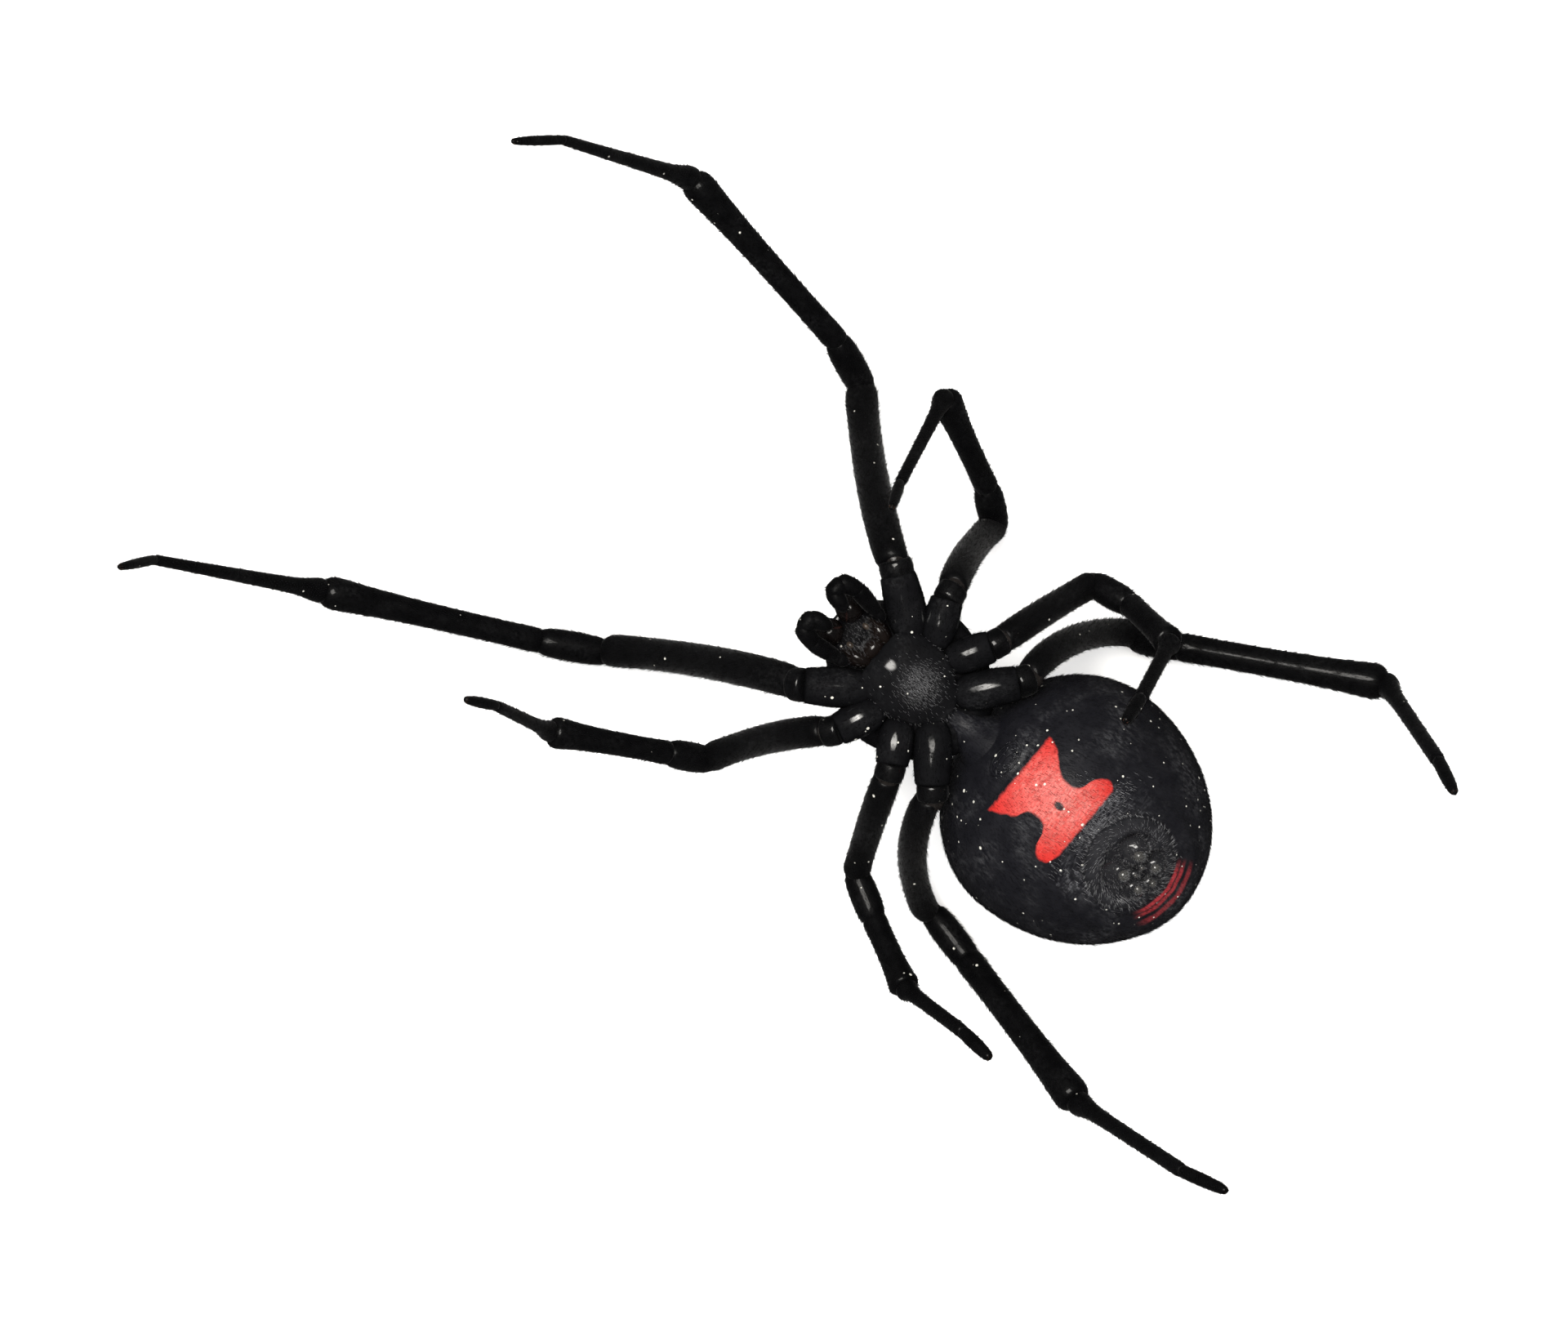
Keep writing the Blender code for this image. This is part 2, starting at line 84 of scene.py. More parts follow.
abdomen_low, abdomen_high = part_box("abdomen")
ORIGIN = Vector((
    (abdomen_low.x + abdomen_high.x) / 2 / MM - ABDOMEN_CENTRE.x,
    abdomen_high.y / MM - ABDOMEN_CENTRE.y - ABDOMEN_TAIL_LENGTH,
    0,
))
print("working origin in the scene, mm:", tuple(round(x, 3) for x in ORIGIN))


def in_scene(point):
    """Turns a point of the working frame into metres in the scene."""
    return (Vector(point) + ORIGIN) * MM


# %% [markdown]
# ## The camera and the light
# The photo looks straight down on the belly from far away for so small a thing, about 26 cm, so
# there is little perspective. Its up direction is between the head and the animal's left side.
# The light is a small soft lamp close beside the lens, which gives the narrow glints along the
# legs, and a broad soft glow that lights the pale floor and fills the shadows. The broad lamps
# and the floor are kept out of reflections, as black cuticle would otherwise turn grey all over.

# %% Camera, floor and lights
PHOTO_WIDTH_MM = 42.24
CAMERA_DISTANCE = 260.0
FOCUS_HEIGHT = 5.3
VIEW_CENTRE = Vector((2.0, -2.81, FOCUS_HEIGHT))
IMAGE_RIGHT = Vector((-0.643, 0.766, 0)).normalized()
IMAGE_UP = Vector((-0.766, -0.643, 0)).normalized()
SENSOR = 36.0

camera_data = bpy.data.cameras.new("camera")
camera_data.sensor_width = SENSOR
camera_data.lens = SENSOR * CAMERA_DISTANCE / PHOTO_WIDTH_MM
camera_data.clip_start = 0.01
camera_data.clip_end = 10
camera = bpy.data.objects.new("camera", camera_data)
bpy.context.scene.collection.objects.link(camera)
turn = Matrix((IMAGE_RIGHT, IMAGE_UP, Vector((0, 0, 1)))).transposed().to_4x4()
camera.matrix_world = Matrix.Translation(in_scene(VIEW_CENTRE + Vector((0, 0, CAMERA_DISTANCE)))) @ turn
bpy.context.scene.camera = camera


def area_light(name, place, size, watts, colour, in_reflections=True):
    """Hangs a square lamp at a place in millimetres, facing the spider."""
    lamp = bpy.data.lights.new(name, "AREA")
    lamp.size = size * MM
    lamp.energy = watts
    lamp.color = colour
    holder = bpy.data.objects.new(name, lamp)
    bpy.context.scene.collection.objects.link(holder)
    holder.location = in_scene(place)
    holder.rotation_euler = (in_scene(VIEW_CENTRE) - holder.location).to_track_quat("-Z", "Y").to_euler()
    holder.visible_glossy = in_reflections


KEY_DISTANCE = 250
WARM, WHITE = (1.0, 0.97, 0.92), (1, 1, 1)
SKY_STRENGTH = 1.2
SKY_IN_REFLECTIONS = 0.05

key_way = Vector((-0.06, -0.22, 0.97)).normalized()
area_light("key_lamp", VIEW_CENTRE + key_way * KEY_DISTANCE, size=130, watts=0.8, colour=WARM)
area_light("broad_lamp_head", (0, -260, 260), size=260, watts=0.9, colour=WHITE, in_reflections=False)
area_light("broad_lamp_tail", (120, 230, 280), size=260, watts=0.9, colour=WHITE, in_reflections=False)

world = bpy.data.worlds.new("studio")
bpy.context.scene.world = world
world.use_nodes = True
sky = world.node_tree
sky_light = sky.nodes["Background"]
sky_light.inputs["Color"].default_value = (1, 1, 1, 1)
ray_kind = sky.nodes.new("ShaderNodeLightPath")
dimming = sky.nodes.new("ShaderNodeMapRange")
dimming.inputs["To Min"].default_value = SKY_STRENGTH
dimming.inputs["To Max"].default_value = SKY_IN_REFLECTIONS
sky.links.new(ray_kind.outputs["Is Glossy Ray"], dimming.inputs["Value"])
sky.links.new(dimming.outputs["Result"], sky_light.inputs["Strength"])
bpy.context.scene.view_settings.view_transform = "Standard"

# %% [markdown]
# ## Small helpers
# An operator works on whatever is selected, so each step first clears the selection. In edit
# mode, vertices and edges are picked by their place with a short test.

# %% Helpers for selecting and finishing
# A slanted direction, along which no two parts of a mesh are level
SORT_WAY = Vector((1.0, 1.618034, 2.718282))
# The sheen that every leg segment has
PLAIN_VELVET = 0.04
# The base of the bell curves that shape grooves, folds and patches
EULER = 2.718


def bell(distance, width):
    """Gives a smooth bell, 1 where the distance is 0."""
    return EULER ** (-(distance / width) ** 2)


def hump(x, y, centre_x, centre_y, half_x, half_y):
    """Gives a smooth bell over a plane, 1 at its centre."""
    return EULER ** (-((x - centre_x) / half_x) ** 2 - ((y - centre_y) / half_y) ** 2)


def only(*things):
    """Selects these objects alone and makes the first one active."""
    bpy.ops.object.select_all(action="DESELECT")
    for thing in things:
        thing.select_set(True)
    bpy.context.view_layer.objects.active = things[0]


def pick(piece, test, kind="VERT"):
    """In edit mode, selects the vertices, or the edges by their middle, that pass a test."""
    bpy.ops.mesh.select_mode(type=kind)
    bpy.ops.mesh.select_all(action="DESELECT")
    shape = bmesh.from_edit_mesh(piece.data)
    if kind == "VERT":
        chosen = [vert for vert in shape.verts if test(vert.co)]
    else:
        chosen = [edge for edge in shape.edges if test((edge.verts[0].co + edge.verts[1].co) / 2)]
    for item in chosen:
        item.select_set(True)
    shape.select_flush_mode()
    bmesh.update_edit_mesh(piece.data)


def in_order(piece):
    """Sorts a mesh by place, because spheres and extruded rings come in another order each run.

    The bristles are scattered by face number, so the order has to be the same every time.
    """
    shape = bmesh.new()
    shape.from_mesh(piece.data)
    shape.verts.sort(key=lambda vert: vert.co.dot(SORT_WAY))
    shape.edges.sort(key=lambda edge: (edge.verts[0].co + edge.verts[1].co).dot(SORT_WAY))
    shape.faces.sort(key=lambda face: face.calc_center_median().dot(SORT_WAY))
    shape.to_mesh(piece.data)
    shape.free()


def settle(piece, name=None):
    """Applies an object's own place, turn and size to its mesh."""
    only(piece)
    bpy.ops.object.transform_apply(location=True, rotation=True, scale=True)
    if name:
        piece.name = name
    return piece


def ball(name, centre, half_sizes, segments=24, rings=14):
    """Makes a stretched sphere with its poles towards head and tail."""
    bpy.ops.object.select_all(action="DESELECT")
    bpy.ops.mesh.primitive_uv_sphere_add(segments=segments, ring_count=rings, radius=1, location=centre,
                                         rotation=(pi / 2, 0, 0))
    piece = bpy.context.active_object
    piece.scale = (half_sizes[0], half_sizes[2], half_sizes[1])
    settle(piece, name)
    in_order(piece)
    return piece


def smooth_out(piece, levels=1):
    """Rounds a piece with a subdivision surface and shades it smooth."""
    only(piece)
    bpy.ops.object.modifier_add(type="SUBSURF")
    finer = piece.modifiers[-1]
    finer.levels = levels
    finer.render_levels = levels
    bpy.ops.object.modifier_apply(modifier=finer.name)
    bpy.ops.object.shade_smooth()


def copied(master):
    """Duplicates an object with a mesh of its own."""
    only(master)
    bpy.ops.object.duplicate(linked=False)
    return bpy.context.active_object


def stood(piece, place, along, sideways, size=1.0):
    """Moves a piece from the origin to a place, with its +Z along one way and its +X near another."""
    across = (sideways - sideways.dot(along) * along).normalized()
    turn = Matrix((across, along.cross(across), along)).transposed().to_4x4()
    piece.matrix_world = Matrix.Translation(place) @ turn @ Matrix.Diagonal((size, size, size, 1))
    return settle(piece)


def joined(name, pieces):
    """Joins pieces into one object with its faces turned out."""
    only(*pieces)
    bpy.ops.object.join()
    whole = bpy.context.active_object
    whole.name = name
    bpy.ops.object.mode_set(mode="EDIT")
    bpy.ops.mesh.select_all(action="SELECT")
    bpy.ops.mesh.normals_make_consistent(inside=False)
    bpy.ops.object.mode_set(mode="OBJECT")
    return whole


def comb(piece, surface, lie, thickness=1.0, length=1.0, polish=0.0):
    """Gives a piece its finish, and notes on every vertex how the bristles lie and how polished it is."""
    piece.data.materials.append(surface)
    count = len(piece.data.vertices)
    for name, kind, value in (("lie", "FLOAT_VECTOR", tuple(lie)), ("cover", "FLOAT", thickness),
                              ("reach", "FLOAT", length), ("polish", "FLOAT", polish),
                              ("velvet", "FLOAT", PLAIN_VELVET)):
        layer = piece.data.attributes.get(name) or piece.data.attributes.new(name, kind, "POINT")
        key = "vector" if kind == "FLOAT_VECTOR" else "value"
        values = list(value) * count if kind == "FLOAT_VECTOR" else [value] * count
        layer.data.foreach_set(key, values)


def rest_on_floor(piece, clearance=0.22):
    """Cuts a flat where a piece would reach under the floor and keeps bristles off the flat."""
    if min(vert.co.z for vert in piece.data.vertices) < 0:
        only(piece)
        bpy.ops.object.mode_set(mode="EDIT")
        bpy.ops.mesh.select_all(action="SELECT")
        bpy.ops.mesh.bisect(plane_co=(0, 0, 0), plane_no=(0, 0, -1), use_fill=True, clear_outer=True)
        bpy.ops.object.mode_set(mode="OBJECT")
        in_order(piece)
    cover = piece.data.attributes["cover"]
    for vert in piece.data.vertices:
        if vert.co.z < clearance:
            cover.data[vert.index].value = 0.0


# %% [markdown]
# ## Node helpers
# The finishes share a few effects: fine relief, dust, haze and markings. Each effect is a node
# group with named sockets. The class below adds nodes to a tree and the function starts a group.
# Every value can be a number or the output of another node.

# %% Helpers for nodes


class Nodes:
    """Adds nodes to one tree. Textures and effects look at the tree's own place by default."""

    def __init__(self, tree, place=None):
        self.tree = tree
        self.place = place

    def fill(self, socket, value):
        """Sets a socket to a number, or links it to another node's output."""
        if isinstance(value, bpy.types.NodeSocket):
            self.tree.links.new(value, socket)
        else:
            socket.default_value = value

    def add(self, kind, inputs=None, **settings):
        """Adds a node, sets its properties and fills its inputs."""
        made = self.tree.nodes.new(kind)
        for key, value in settings.items():
            setattr(made, key, value)
        for key, value in (inputs or {}).items():
            self.fill(made.inputs[key], value)
        return made

    def maths(self, operation, first, second=0.0, clamp=False):
        """Gives the result of a Math node."""
        made = self.add("ShaderNodeMath", {0: first, 1: second}, operation=operation, use_clamp=clamp)
        return made.outputs[0]

    def times(self, first, *others):
        """Multiplies two or more values."""
        for other in others:
            first = self.maths("MULTIPLY", first, other)
        return first

    def plus(self, first, *others):
        """Adds two or more values."""
        for other in others:
            first = self.maths("ADD", first, other)
        return first

    def minus(self, first, second):
        """Takes one value from another."""
        return self.maths("SUBTRACT", first, second)

    def most(self, first, *others):
        """Gives the greatest of two or more values."""
        for other in others:
            first = self.maths("MAXIMUM", first, other)
        return first

    def vector(self, operation, first, second=None, scale=None, output=0):
        """Gives the result of a Vector Math node."""
        given = {0: first, 1: second, "Scale": scale}
        given = {key: value for key, value in given.items() if value is not None}
        return self.add("ShaderNodeVectorMath", given, operation=operation).outputs[output]

    def noise(self, scale, detail=2.0, roughness=0.5, place=None):
        """Gives the value of a noise texture."""
        place = self.place if place is None else place
        given = {"Vector": place, "Scale": scale, "Detail": detail, "Roughness": roughness}
        return self.add("ShaderNodeTexNoise", given).outputs["Fac"]

    def cells(self, scale):
        """Gives the outputs of a Voronoi texture."""
        return self.add("ShaderNodeTexVoronoi", {"Vector": self.place, "Scale": scale}).outputs

    def ramp(self, value, start, end, low=0.0, high=1.0, kind="LINEAR"):
        """Maps a value from one range to another."""
        given = {"Value": value, "From Min": start, "From Max": end, "To Min": low, "To Max": high}
        return self.add("ShaderNodeMapRange", given, interpolation_type=kind).outputs["Result"]

    def mix(self, share, first, second):
        """Mixes two colours by a share."""
        colours = [(*colour, 1) if isinstance(colour, tuple) else colour for colour in (first, second)]
        made = self.add("ShaderNodeMix", {0: share, 6: colours[0], 7: colours[1]}, data_type="RGBA")
        return made.outputs[2]

    def attribute(self, name):
        """Reads a value that is noted on every vertex."""
        return self.add("ShaderNodeAttribute", attribute_name=name).outputs["Fac"]

    def effect(self, group, **inputs):
        """Places a node group and gives its output."""
        placed = self.tree.nodes.new("ShaderNodeGroup")
        placed.node_tree = group
        for key, value in {"place": self.place, **inputs}.items():
            self.fill(placed.inputs[key.capitalize()], value)
        return placed.outputs[0]


def start_effect(name, result, **takes):
    """Starts a node group that takes a place and named values; returns it, its nodes and its sockets."""
    tree = bpy.data.node_groups.new(name, "ShaderNodeTree")
    tree.interface.new_socket("Place", in_out="INPUT", socket_type="NodeSocketVector")
    for socket, value in takes.items():
        kind = "NodeSocketFloat" if isinstance(value, float) else "NodeSocketVector"
        tree.interface.new_socket(socket, in_out="INPUT", socket_type=kind).default_value = value
    tree.interface.new_socket(result, in_out="OUTPUT", socket_type="NodeSocketFloat")
    start = tree.nodes.new("NodeGroupInput").outputs
    end = tree.nodes.new("NodeGroupOutput").inputs
    print("effect", name, list(takes))
    return tree, Nodes(tree, start["Place"]), start, end[result]


# %% [markdown]
# ## Effects that the finishes share
# Spider cuticle isn't a flat black. Under a lens it has a fine net of scales, a socket at the
# root of each bristle, gentle hollows, a haze of very short pale down where the light grazes
# it, and a few specks of white dust. Each of these is made once here.

# %% Fine relief
relief, nodes, takes, result = start_effect("fine_relief", "Height", Scales=24.0, Sockets=0.5, Hollows=0.5)
net = nodes.times(nodes.cells(takes["Scales"])["Distance"], 0.35)
sockets = nodes.ramp(nodes.cells(7.0)["Distance"], 0.0, 0.16, low=1.0, high=0.0)
sockets = nodes.times(sockets, takes["Sockets"])
hollows = nodes.times(nodes.noise(1.6, detail=3.0), takes["Hollows"])
nodes.fill(result, nodes.plus(net, sockets, hollows))

# %% Dust specks
dust, nodes, takes, result = start_effect("dust_specks", "Mask", Closeness=1.6, Size=0.09, Share=0.35)
cells = nodes.cells(takes["Closeness"])
draw = nodes.add("ShaderNodeSeparateColor", {"Color": cells["Color"]}).outputs
chosen = nodes.maths("LESS_THAN", draw["Red"], takes["Share"])
size = nodes.times(takes["Size"], nodes.plus(draw["Green"], 0.35))
near = nodes.maths("LESS_THAN", cells["Distance"], size)
nodes.fill(result, nodes.times(chosen, near))

# %% Haze of pale down
down, nodes, takes, result = start_effect("pale_down", "Mask", Stretch=(9.0, 9.0, 9.0), Patchiness=0.5)
spread = nodes.vector("MULTIPLY", nodes.place, takes["Stretch"])
hairs = nodes.ramp(nodes.noise(1.0, detail=4.0, roughness=0.7, place=spread), 0.44, 0.68)
patches = nodes.ramp(nodes.noise(0.9), takes["Patchiness"], 0.75)
nodes.fill(result, nodes.times(hairs, patches))

# %% A soft round patch, for haze and for single spots
patch, nodes, takes, result = start_effect("round_patch", "Mask", Centre=(0, 0, 0), Size=(1, 1, 100),
                                           Edge=0.5)
ratio = nodes.vector("DIVIDE", nodes.vector("SUBTRACT", nodes.place, takes["Centre"]), takes["Size"])
reach = nodes.vector("LENGTH", ratio, output="Value")
inner = nodes.minus(1.0, takes["Edge"])
nodes.fill(result, nodes.ramp(reach, inner, 1.0, low=1.0, high=0.0, kind="SMOOTHSTEP"))

# %% A ring seen from above, for the folds and stripes round the spinnerets
ring, nodes, takes, result = start_effect("ring_band", "Mask", Centre=(0, 0, 0), Radius=1.0, Width=0.2,
                                          Wobble=0.1)
offset = nodes.vector("SUBTRACT", nodes.place, takes["Centre"])
reach = nodes.vector("LENGTH", nodes.vector("MULTIPLY", offset, (1, 1, 0)), output="Value")
shift = nodes.times(nodes.minus(nodes.noise(2.2, detail=3.0), 0.5), takes["Wobble"])
gap = nodes.maths("ABSOLUTE", nodes.plus(nodes.minus(reach, takes["Radius"]), shift))
share = nodes.maths("DIVIDE", gap, takes["Width"])
nodes.fill(result, nodes.ramp(share, 0.3, 1.0, low=1.0, high=0.0, kind="SMOOTHSTEP"))

# %% [markdown]
# ## The hourglass
# The mark that names the animal is on the belly: a broad triangle with its straight side to the
# head, a waist, and a bar with two round lobes behind. Its two side edges are curves of the
# place along the body, drawn with Float Curve nodes, and its front and rear edges are straight
# with a small waver. A soft step on each side gives the mask.

# %% The hourglass mark
MARK_FRONT = 3.80
MARK_REAR = 6.00
MARK_START = 3.5
MARK_SPAN = 2.8
MARK_WIDEST = 2.0
MARK_EDGE = 0.08
MARK_WAVER = 0.13
# Places behind the breastplate's middle and half widths of the mark there, in millimetres
MARK_RIGHT = ((3.50, 1.36), (3.79, 1.33), (4.22, 1.12), (4.43, 1.01), (4.62, 0.70), (4.85, 0.62),
              (5.10, 0.66), (5.28, 0.86), (5.38, 1.24), (5.62, 1.46), (5.82, 1.45), (5.98, 1.22), (6.3, 0.6))
MARK_LEFT = ((3.50, 1.24), (3.82, 1.20), (4.08, 1.12), (4.37, 0.89), (4.63, 0.65), (4.95, 0.55),
             (5.25, 0.64), (5.40, 1.00), (5.58, 1.24), (5.82, 1.32), (6.00, 1.20), (6.3, 0.6))

hourglass, nodes, takes, result = start_effect("hourglass_mark", "Mask")
parts = nodes.add("ShaderNodeSeparateXYZ", {0: nodes.place}).outputs
drift = nodes.times(nodes.minus(nodes.noise(5.0, detail=4.0), 0.5), MARK_WAVER)
along = nodes.maths("DIVIDE", nodes.minus(parts["Y"], MARK_START), MARK_SPAN)


def edge_curve(points):
    """Adds a curve that gives the mark's half width at a place along the body."""
    curve = nodes.add("ShaderNodeFloatCurve", {"Value": along})
    dots = curve.mapping.curves[0].points
    while len(dots) < len(points):
        dots.new(0.5, 0.5)
    for dot, (place, width) in zip(dots, points):
        dot.location = ((place - MARK_START) / MARK_SPAN, width / MARK_WIDEST)
    curve.mapping.update()
    return nodes.times(curve.outputs[0], MARK_WIDEST)


# How far a point is inside each edge of the mark
rooms = (
    nodes.plus(nodes.minus(edge_curve(MARK_RIGHT), parts["X"]), drift),
    nodes.plus(nodes.plus(edge_curve(MARK_LEFT), parts["X"]), drift),
    nodes.plus(nodes.minus(parts["Y"], MARK_FRONT), drift),
    nodes.plus(nodes.minus(MARK_REAR, parts["Y"]), drift),
    nodes.minus(parts["Z"], ABDOMEN_CENTRE.z),
)
steps = [nodes.maths("MULTIPLY_ADD", room, 1 / MARK_EDGE, clamp=True) for room in rooms]
nodes.fill(result, nodes.times(*steps))

# %% [markdown]
# ## The finishes
# Each finish is a Principled BSDF in its own material, with colour, roughness and relief from
# the effects. Object coordinates are metres from the scene's origin, so a Mapping node turns
# them into the working frame's millimetres. The thighs have a velvety sheen of fine down, and a
# clear polish lies where the coxae, the knees and the back catch the lamp.

# %% Materials
DUST_COLOUR = (0.38, 0.37, 0.33)
DOWN_COLOUR = (0.42, 0.42, 0.43)
COAT_IOR = 1.7
COAT_ROUGHNESS = 0.12


def finish(name, coat=0.0, shine=0.5):
    """Starts a material; returns it with its nodes, which look at millimetres, and its shader's inputs."""
    print("finish", name)
    surface = bpy.data.materials.new(name)
    surface.use_nodes = True
    nodes = Nodes(surface.node_tree)
    shader = surface.node_tree.nodes["Principled BSDF"].inputs
    shader["Specular IOR Level"].default_value = shine
    shader["Coat Weight"].default_value = coat
    shader["Coat IOR"].default_value = COAT_IOR
    shader["Coat Roughness"].default_value = COAT_ROUGHNESS
    in_metres = nodes.add("ShaderNodeTexCoord").outputs["Object"]
    nodes.place = nodes.add("ShaderNodeMapping", {"Vector": in_metres, "Location": -ORIGIN,
                                                  "Scale": (1 / MM, 1 / MM, 1 / MM)}).outputs[0]
    return surface, nodes, shader


def bump(nodes, shader, height, depth):
    """Gives a shader its relief, as deep as a number of millimetres."""
    raised = nodes.add("ShaderNodeBump", {"Height": height, "Strength": 1.0, "Distance": depth * MM})
    nodes.fill(shader["Normal"], raised.outputs["Normal"])


def dusted(nodes, colour, share):
    """Lays pale dust specks of two sizes over a colour."""
    large = nodes.effect(dust, closeness=2.3, size=0.09, share=share)
    small = nodes.effect(dust, closeness=6.0, size=0.16, share=share * 0.45)
    return nodes.mix(nodes.most(large, small), colour, DUST_COLOUR)


def cuticle(name, dark, light, rough, haze=0.10, shine=0.3, stretch=(9, 9, 9), depth=0.012, patchiness=0.5):
    """Makes a black cuticle: dark colour with lighter haze, dust, varied gloss and fine relief."""
    surface, nodes, shader = finish(name, shine=shine)
    mottle = nodes.noise(2.5, detail=5.0)
    pale = nodes.effect(down, stretch=stretch, patchiness=patchiness)
    colour = nodes.mix(nodes.times(pale, haze), nodes.mix(mottle, dark, light), DOWN_COLOUR)
    nodes.fill(shader["Base Color"], dusted(nodes, colour, 0.09))
    polish = nodes.times(nodes.attribute("polish"), nodes.ramp(mottle, 0.36, 0.50))
    nodes.fill(shader["Coat Weight"], polish)
    gloss = nodes.ramp(mottle, 0.3, 0.7, low=rough * 0.75, high=rough * 1.3)
    nodes.fill(shader["Roughness"], nodes.maths("ADD", gloss, nodes.times(pale, 0.2), clamp=True))
    bump(nodes, shader, nodes.effect(relief, scales=26.0, sockets=0.7, hollows=1.2), depth)
    return surface, nodes, shader, colour, polish


leg_finish, nodes, shader, colour, polish = cuticle(
    "leg_cuticle", (0.0006, 0.0006, 0.0007), (0.0020, 0.0020, 0.0022), 0.42, 0.012, 0.05)
nodes.fill(shader["Sheen Weight"], nodes.attribute("velvet"))
shader["Sheen Roughness"].default_value = 0.33

# %% The finish of the front body, hazy and with one glint in the middle of the breastplate
thorax_finish, nodes, shader, colour, polish = cuticle(
    "thorax_cuticle", (0.0014, 0.0014, 0.0016), (0.0040, 0.0040, 0.0045), 0.55, 0.02, 0.02, depth=0.008)
middle = nodes.effect(patch, centre=(-0.04, 0.23, 5.9), size=(0.80, 0.80, 4), edge=0.95)
grain = nodes.effect(down, stretch=(30, 14, 20), patchiness=0.1)
colour = nodes.mix(nodes.times(middle, grain, 0.25), colour, (0.30, 0.30, 0.31))
nodes.fill(shader["Base Color"], dusted(nodes, colour, 0.16))
glint = nodes.effect(patch, centre=(0.05, -0.73, 5.9), size=(0.17, 0.22, 2), edge=0.6)
nodes.fill(shader["Coat Weight"], nodes.most(polish, nodes.times(glint, 0.55)))

# %% [markdown]
# ## The abdomen's colours
# The belly is blue-black, with pale hairs behind the mark and in rings round the spinnerets, and
# dark red stripes towards the tail. The middle of the mark and the folds round the spinnerets also
# carry painted sheen. Every hair could be a piece of mesh, but so many would be too heavy, so the
# paint carries the finest down and the mesh only hairs that show one by one.

# %% The abdomen's finish: the pale haze just behind the mark and round the spinnerets, and painted sheen along the folds there
SPINNERET_Y = 7.65
# The radii of the thin lines of painted sheen along the folds round the spinnerets
FOLD_SHEEN_RADII = (1.5, 2.05)
body_finish, nodes, shader, colour, polish = cuticle(
    "body_cuticle", (0.0024, 0.0024, 0.0034), (0.0075, 0.0075, 0.0094), 0.48, 0.07, 0.10, stretch=(14, 5, 6),
    patchiness=0.46)
rear_haze = nodes.effect(patch, centre=(-0.35, 6.3, 6.5), size=(1.9, 0.55, 3), edge=0.9)
round_haze = nodes.effect(ring, centre=(-0.1, SPINNERET_Y - 0.1, 0), radius=1.75, width=0.22, wobble=0.9)
headward = nodes.effect(patch, centre=(0.1, 6.2, 6.5), size=(2.4, 1.9, 4), edge=0.5)
inner_haze = nodes.effect(patch, centre=(0.0, 7.3, 6.0), size=(1.7, 1.4, 3), edge=0.8)
height = nodes.add("ShaderNodeSeparateXYZ", {0: nodes.place}).outputs["Z"]
on_belly = nodes.maths("GREATER_THAN", height, 4.2)
wisps = nodes.effect(down, stretch=(7, 20, 9), patchiness=0.25)
haze = nodes.most(rear_haze, nodes.times(round_haze, headward, 0.8), nodes.times(inner_haze, 0.6))
# Two thin pale lines follow the folds round the spinnerets: painted sheen, broken up by the pale down pattern
for radius in FOLD_SHEEN_RADII:
    fold_sheen_line = nodes.effect(ring, centre=(-0.1, SPINNERET_Y, 0), radius=radius, width=0.07, wobble=1.0)
    haze = nodes.most(haze, nodes.times(fold_sheen_line, headward))
colour = nodes.mix(nodes.times(haze, wisps, on_belly, 0.7), colour, (0.15, 0.15, 0.16))

# %% The red mark, paler and pinker in the middle with pale down and painted sheen, with dark bristle roots and one black spot
# The mark's red, and the pink of the painted sheen in its middle
BRIGHT_RED, SHEEN_PINK = (0.31, 0.009, 0.007), (0.34, 0.10, 0.085)
ROOT_RED, SHADE_RED = (0.09, 0.005, 0.005), (0.14, 0.006, 0.005)
STRIPE_RED = (0.19, 0.012, 0.016)
STRIPE_CENTRE = (0.0, 7.01, 0.0)
# The radius, width and strength of each stripe
STRIPES = ((1.87, 0.08, 1.0), (2.0, 0.07, 0.8), (2.2, 0.09, 0.5))
# The pink middle of the mark is painted sheen over the red, broken up by the pale down pattern
pink_sheen_and_down = nodes.effect(patch, centre=(0.0, 4.95, 7.0), size=(2.0, 2.0, 4), edge=0.95)
pink_sheen_and_down = nodes.maths("MULTIPLY", pink_sheen_and_down, nodes.plus(nodes.times(wisps, 1.4), 0.5), clamp=True)
red = nodes.mix(pink_sheen_and_down, BRIGHT_RED, SHEEN_PINK)
roots = nodes.effect(dust, closeness=15.0, size=0.36, share=0.6)
red = nodes.mix(nodes.times(roots, 0.3), red, ROOT_RED)
red = nodes.mix(nodes.ramp(nodes.noise(5.0, detail=5.0, roughness=0.7), 0.5, 0.75, high=0.6), red, SHADE_RED)
spot = nodes.effect(patch, centre=(0.05, 5.16, 7.0), size=(0.13, 0.2, 4), edge=0.5)
mark = nodes.times(nodes.effect(hourglass), nodes.minus(1.0, spot))
colour = nodes.mix(mark, colour, red)
# Dark red stripes behind the spinnerets
rearward = nodes.effect(patch, centre=(0.0, 9.6, 5.2), size=(1.35, 1.6, 2.2), edge=0.35)
stripes = []
for radius, width, strength in STRIPES:
    stripe = nodes.effect(ring, centre=STRIPE_CENTRE, radius=radius, width=width, wobble=0.1)
    stripes.append(nodes.times(stripe, strength))
colour = nodes.mix(nodes.times(nodes.most(*stripes), rearward), colour, STRIPE_RED)
nodes.fill(shader["Base Color"], dusted(nodes, colour, 0.32))

# %% [markdown]
# ## Small parts
# Jaws, fangs, eyes, claws, spinnerets and bristles differ in little but colour and gloss, so one
# function makes all their finishes. It mottles two colours, and the bristles of the belly take
# a third one where they grow on the red mark.

# %% Finishes of the small parts


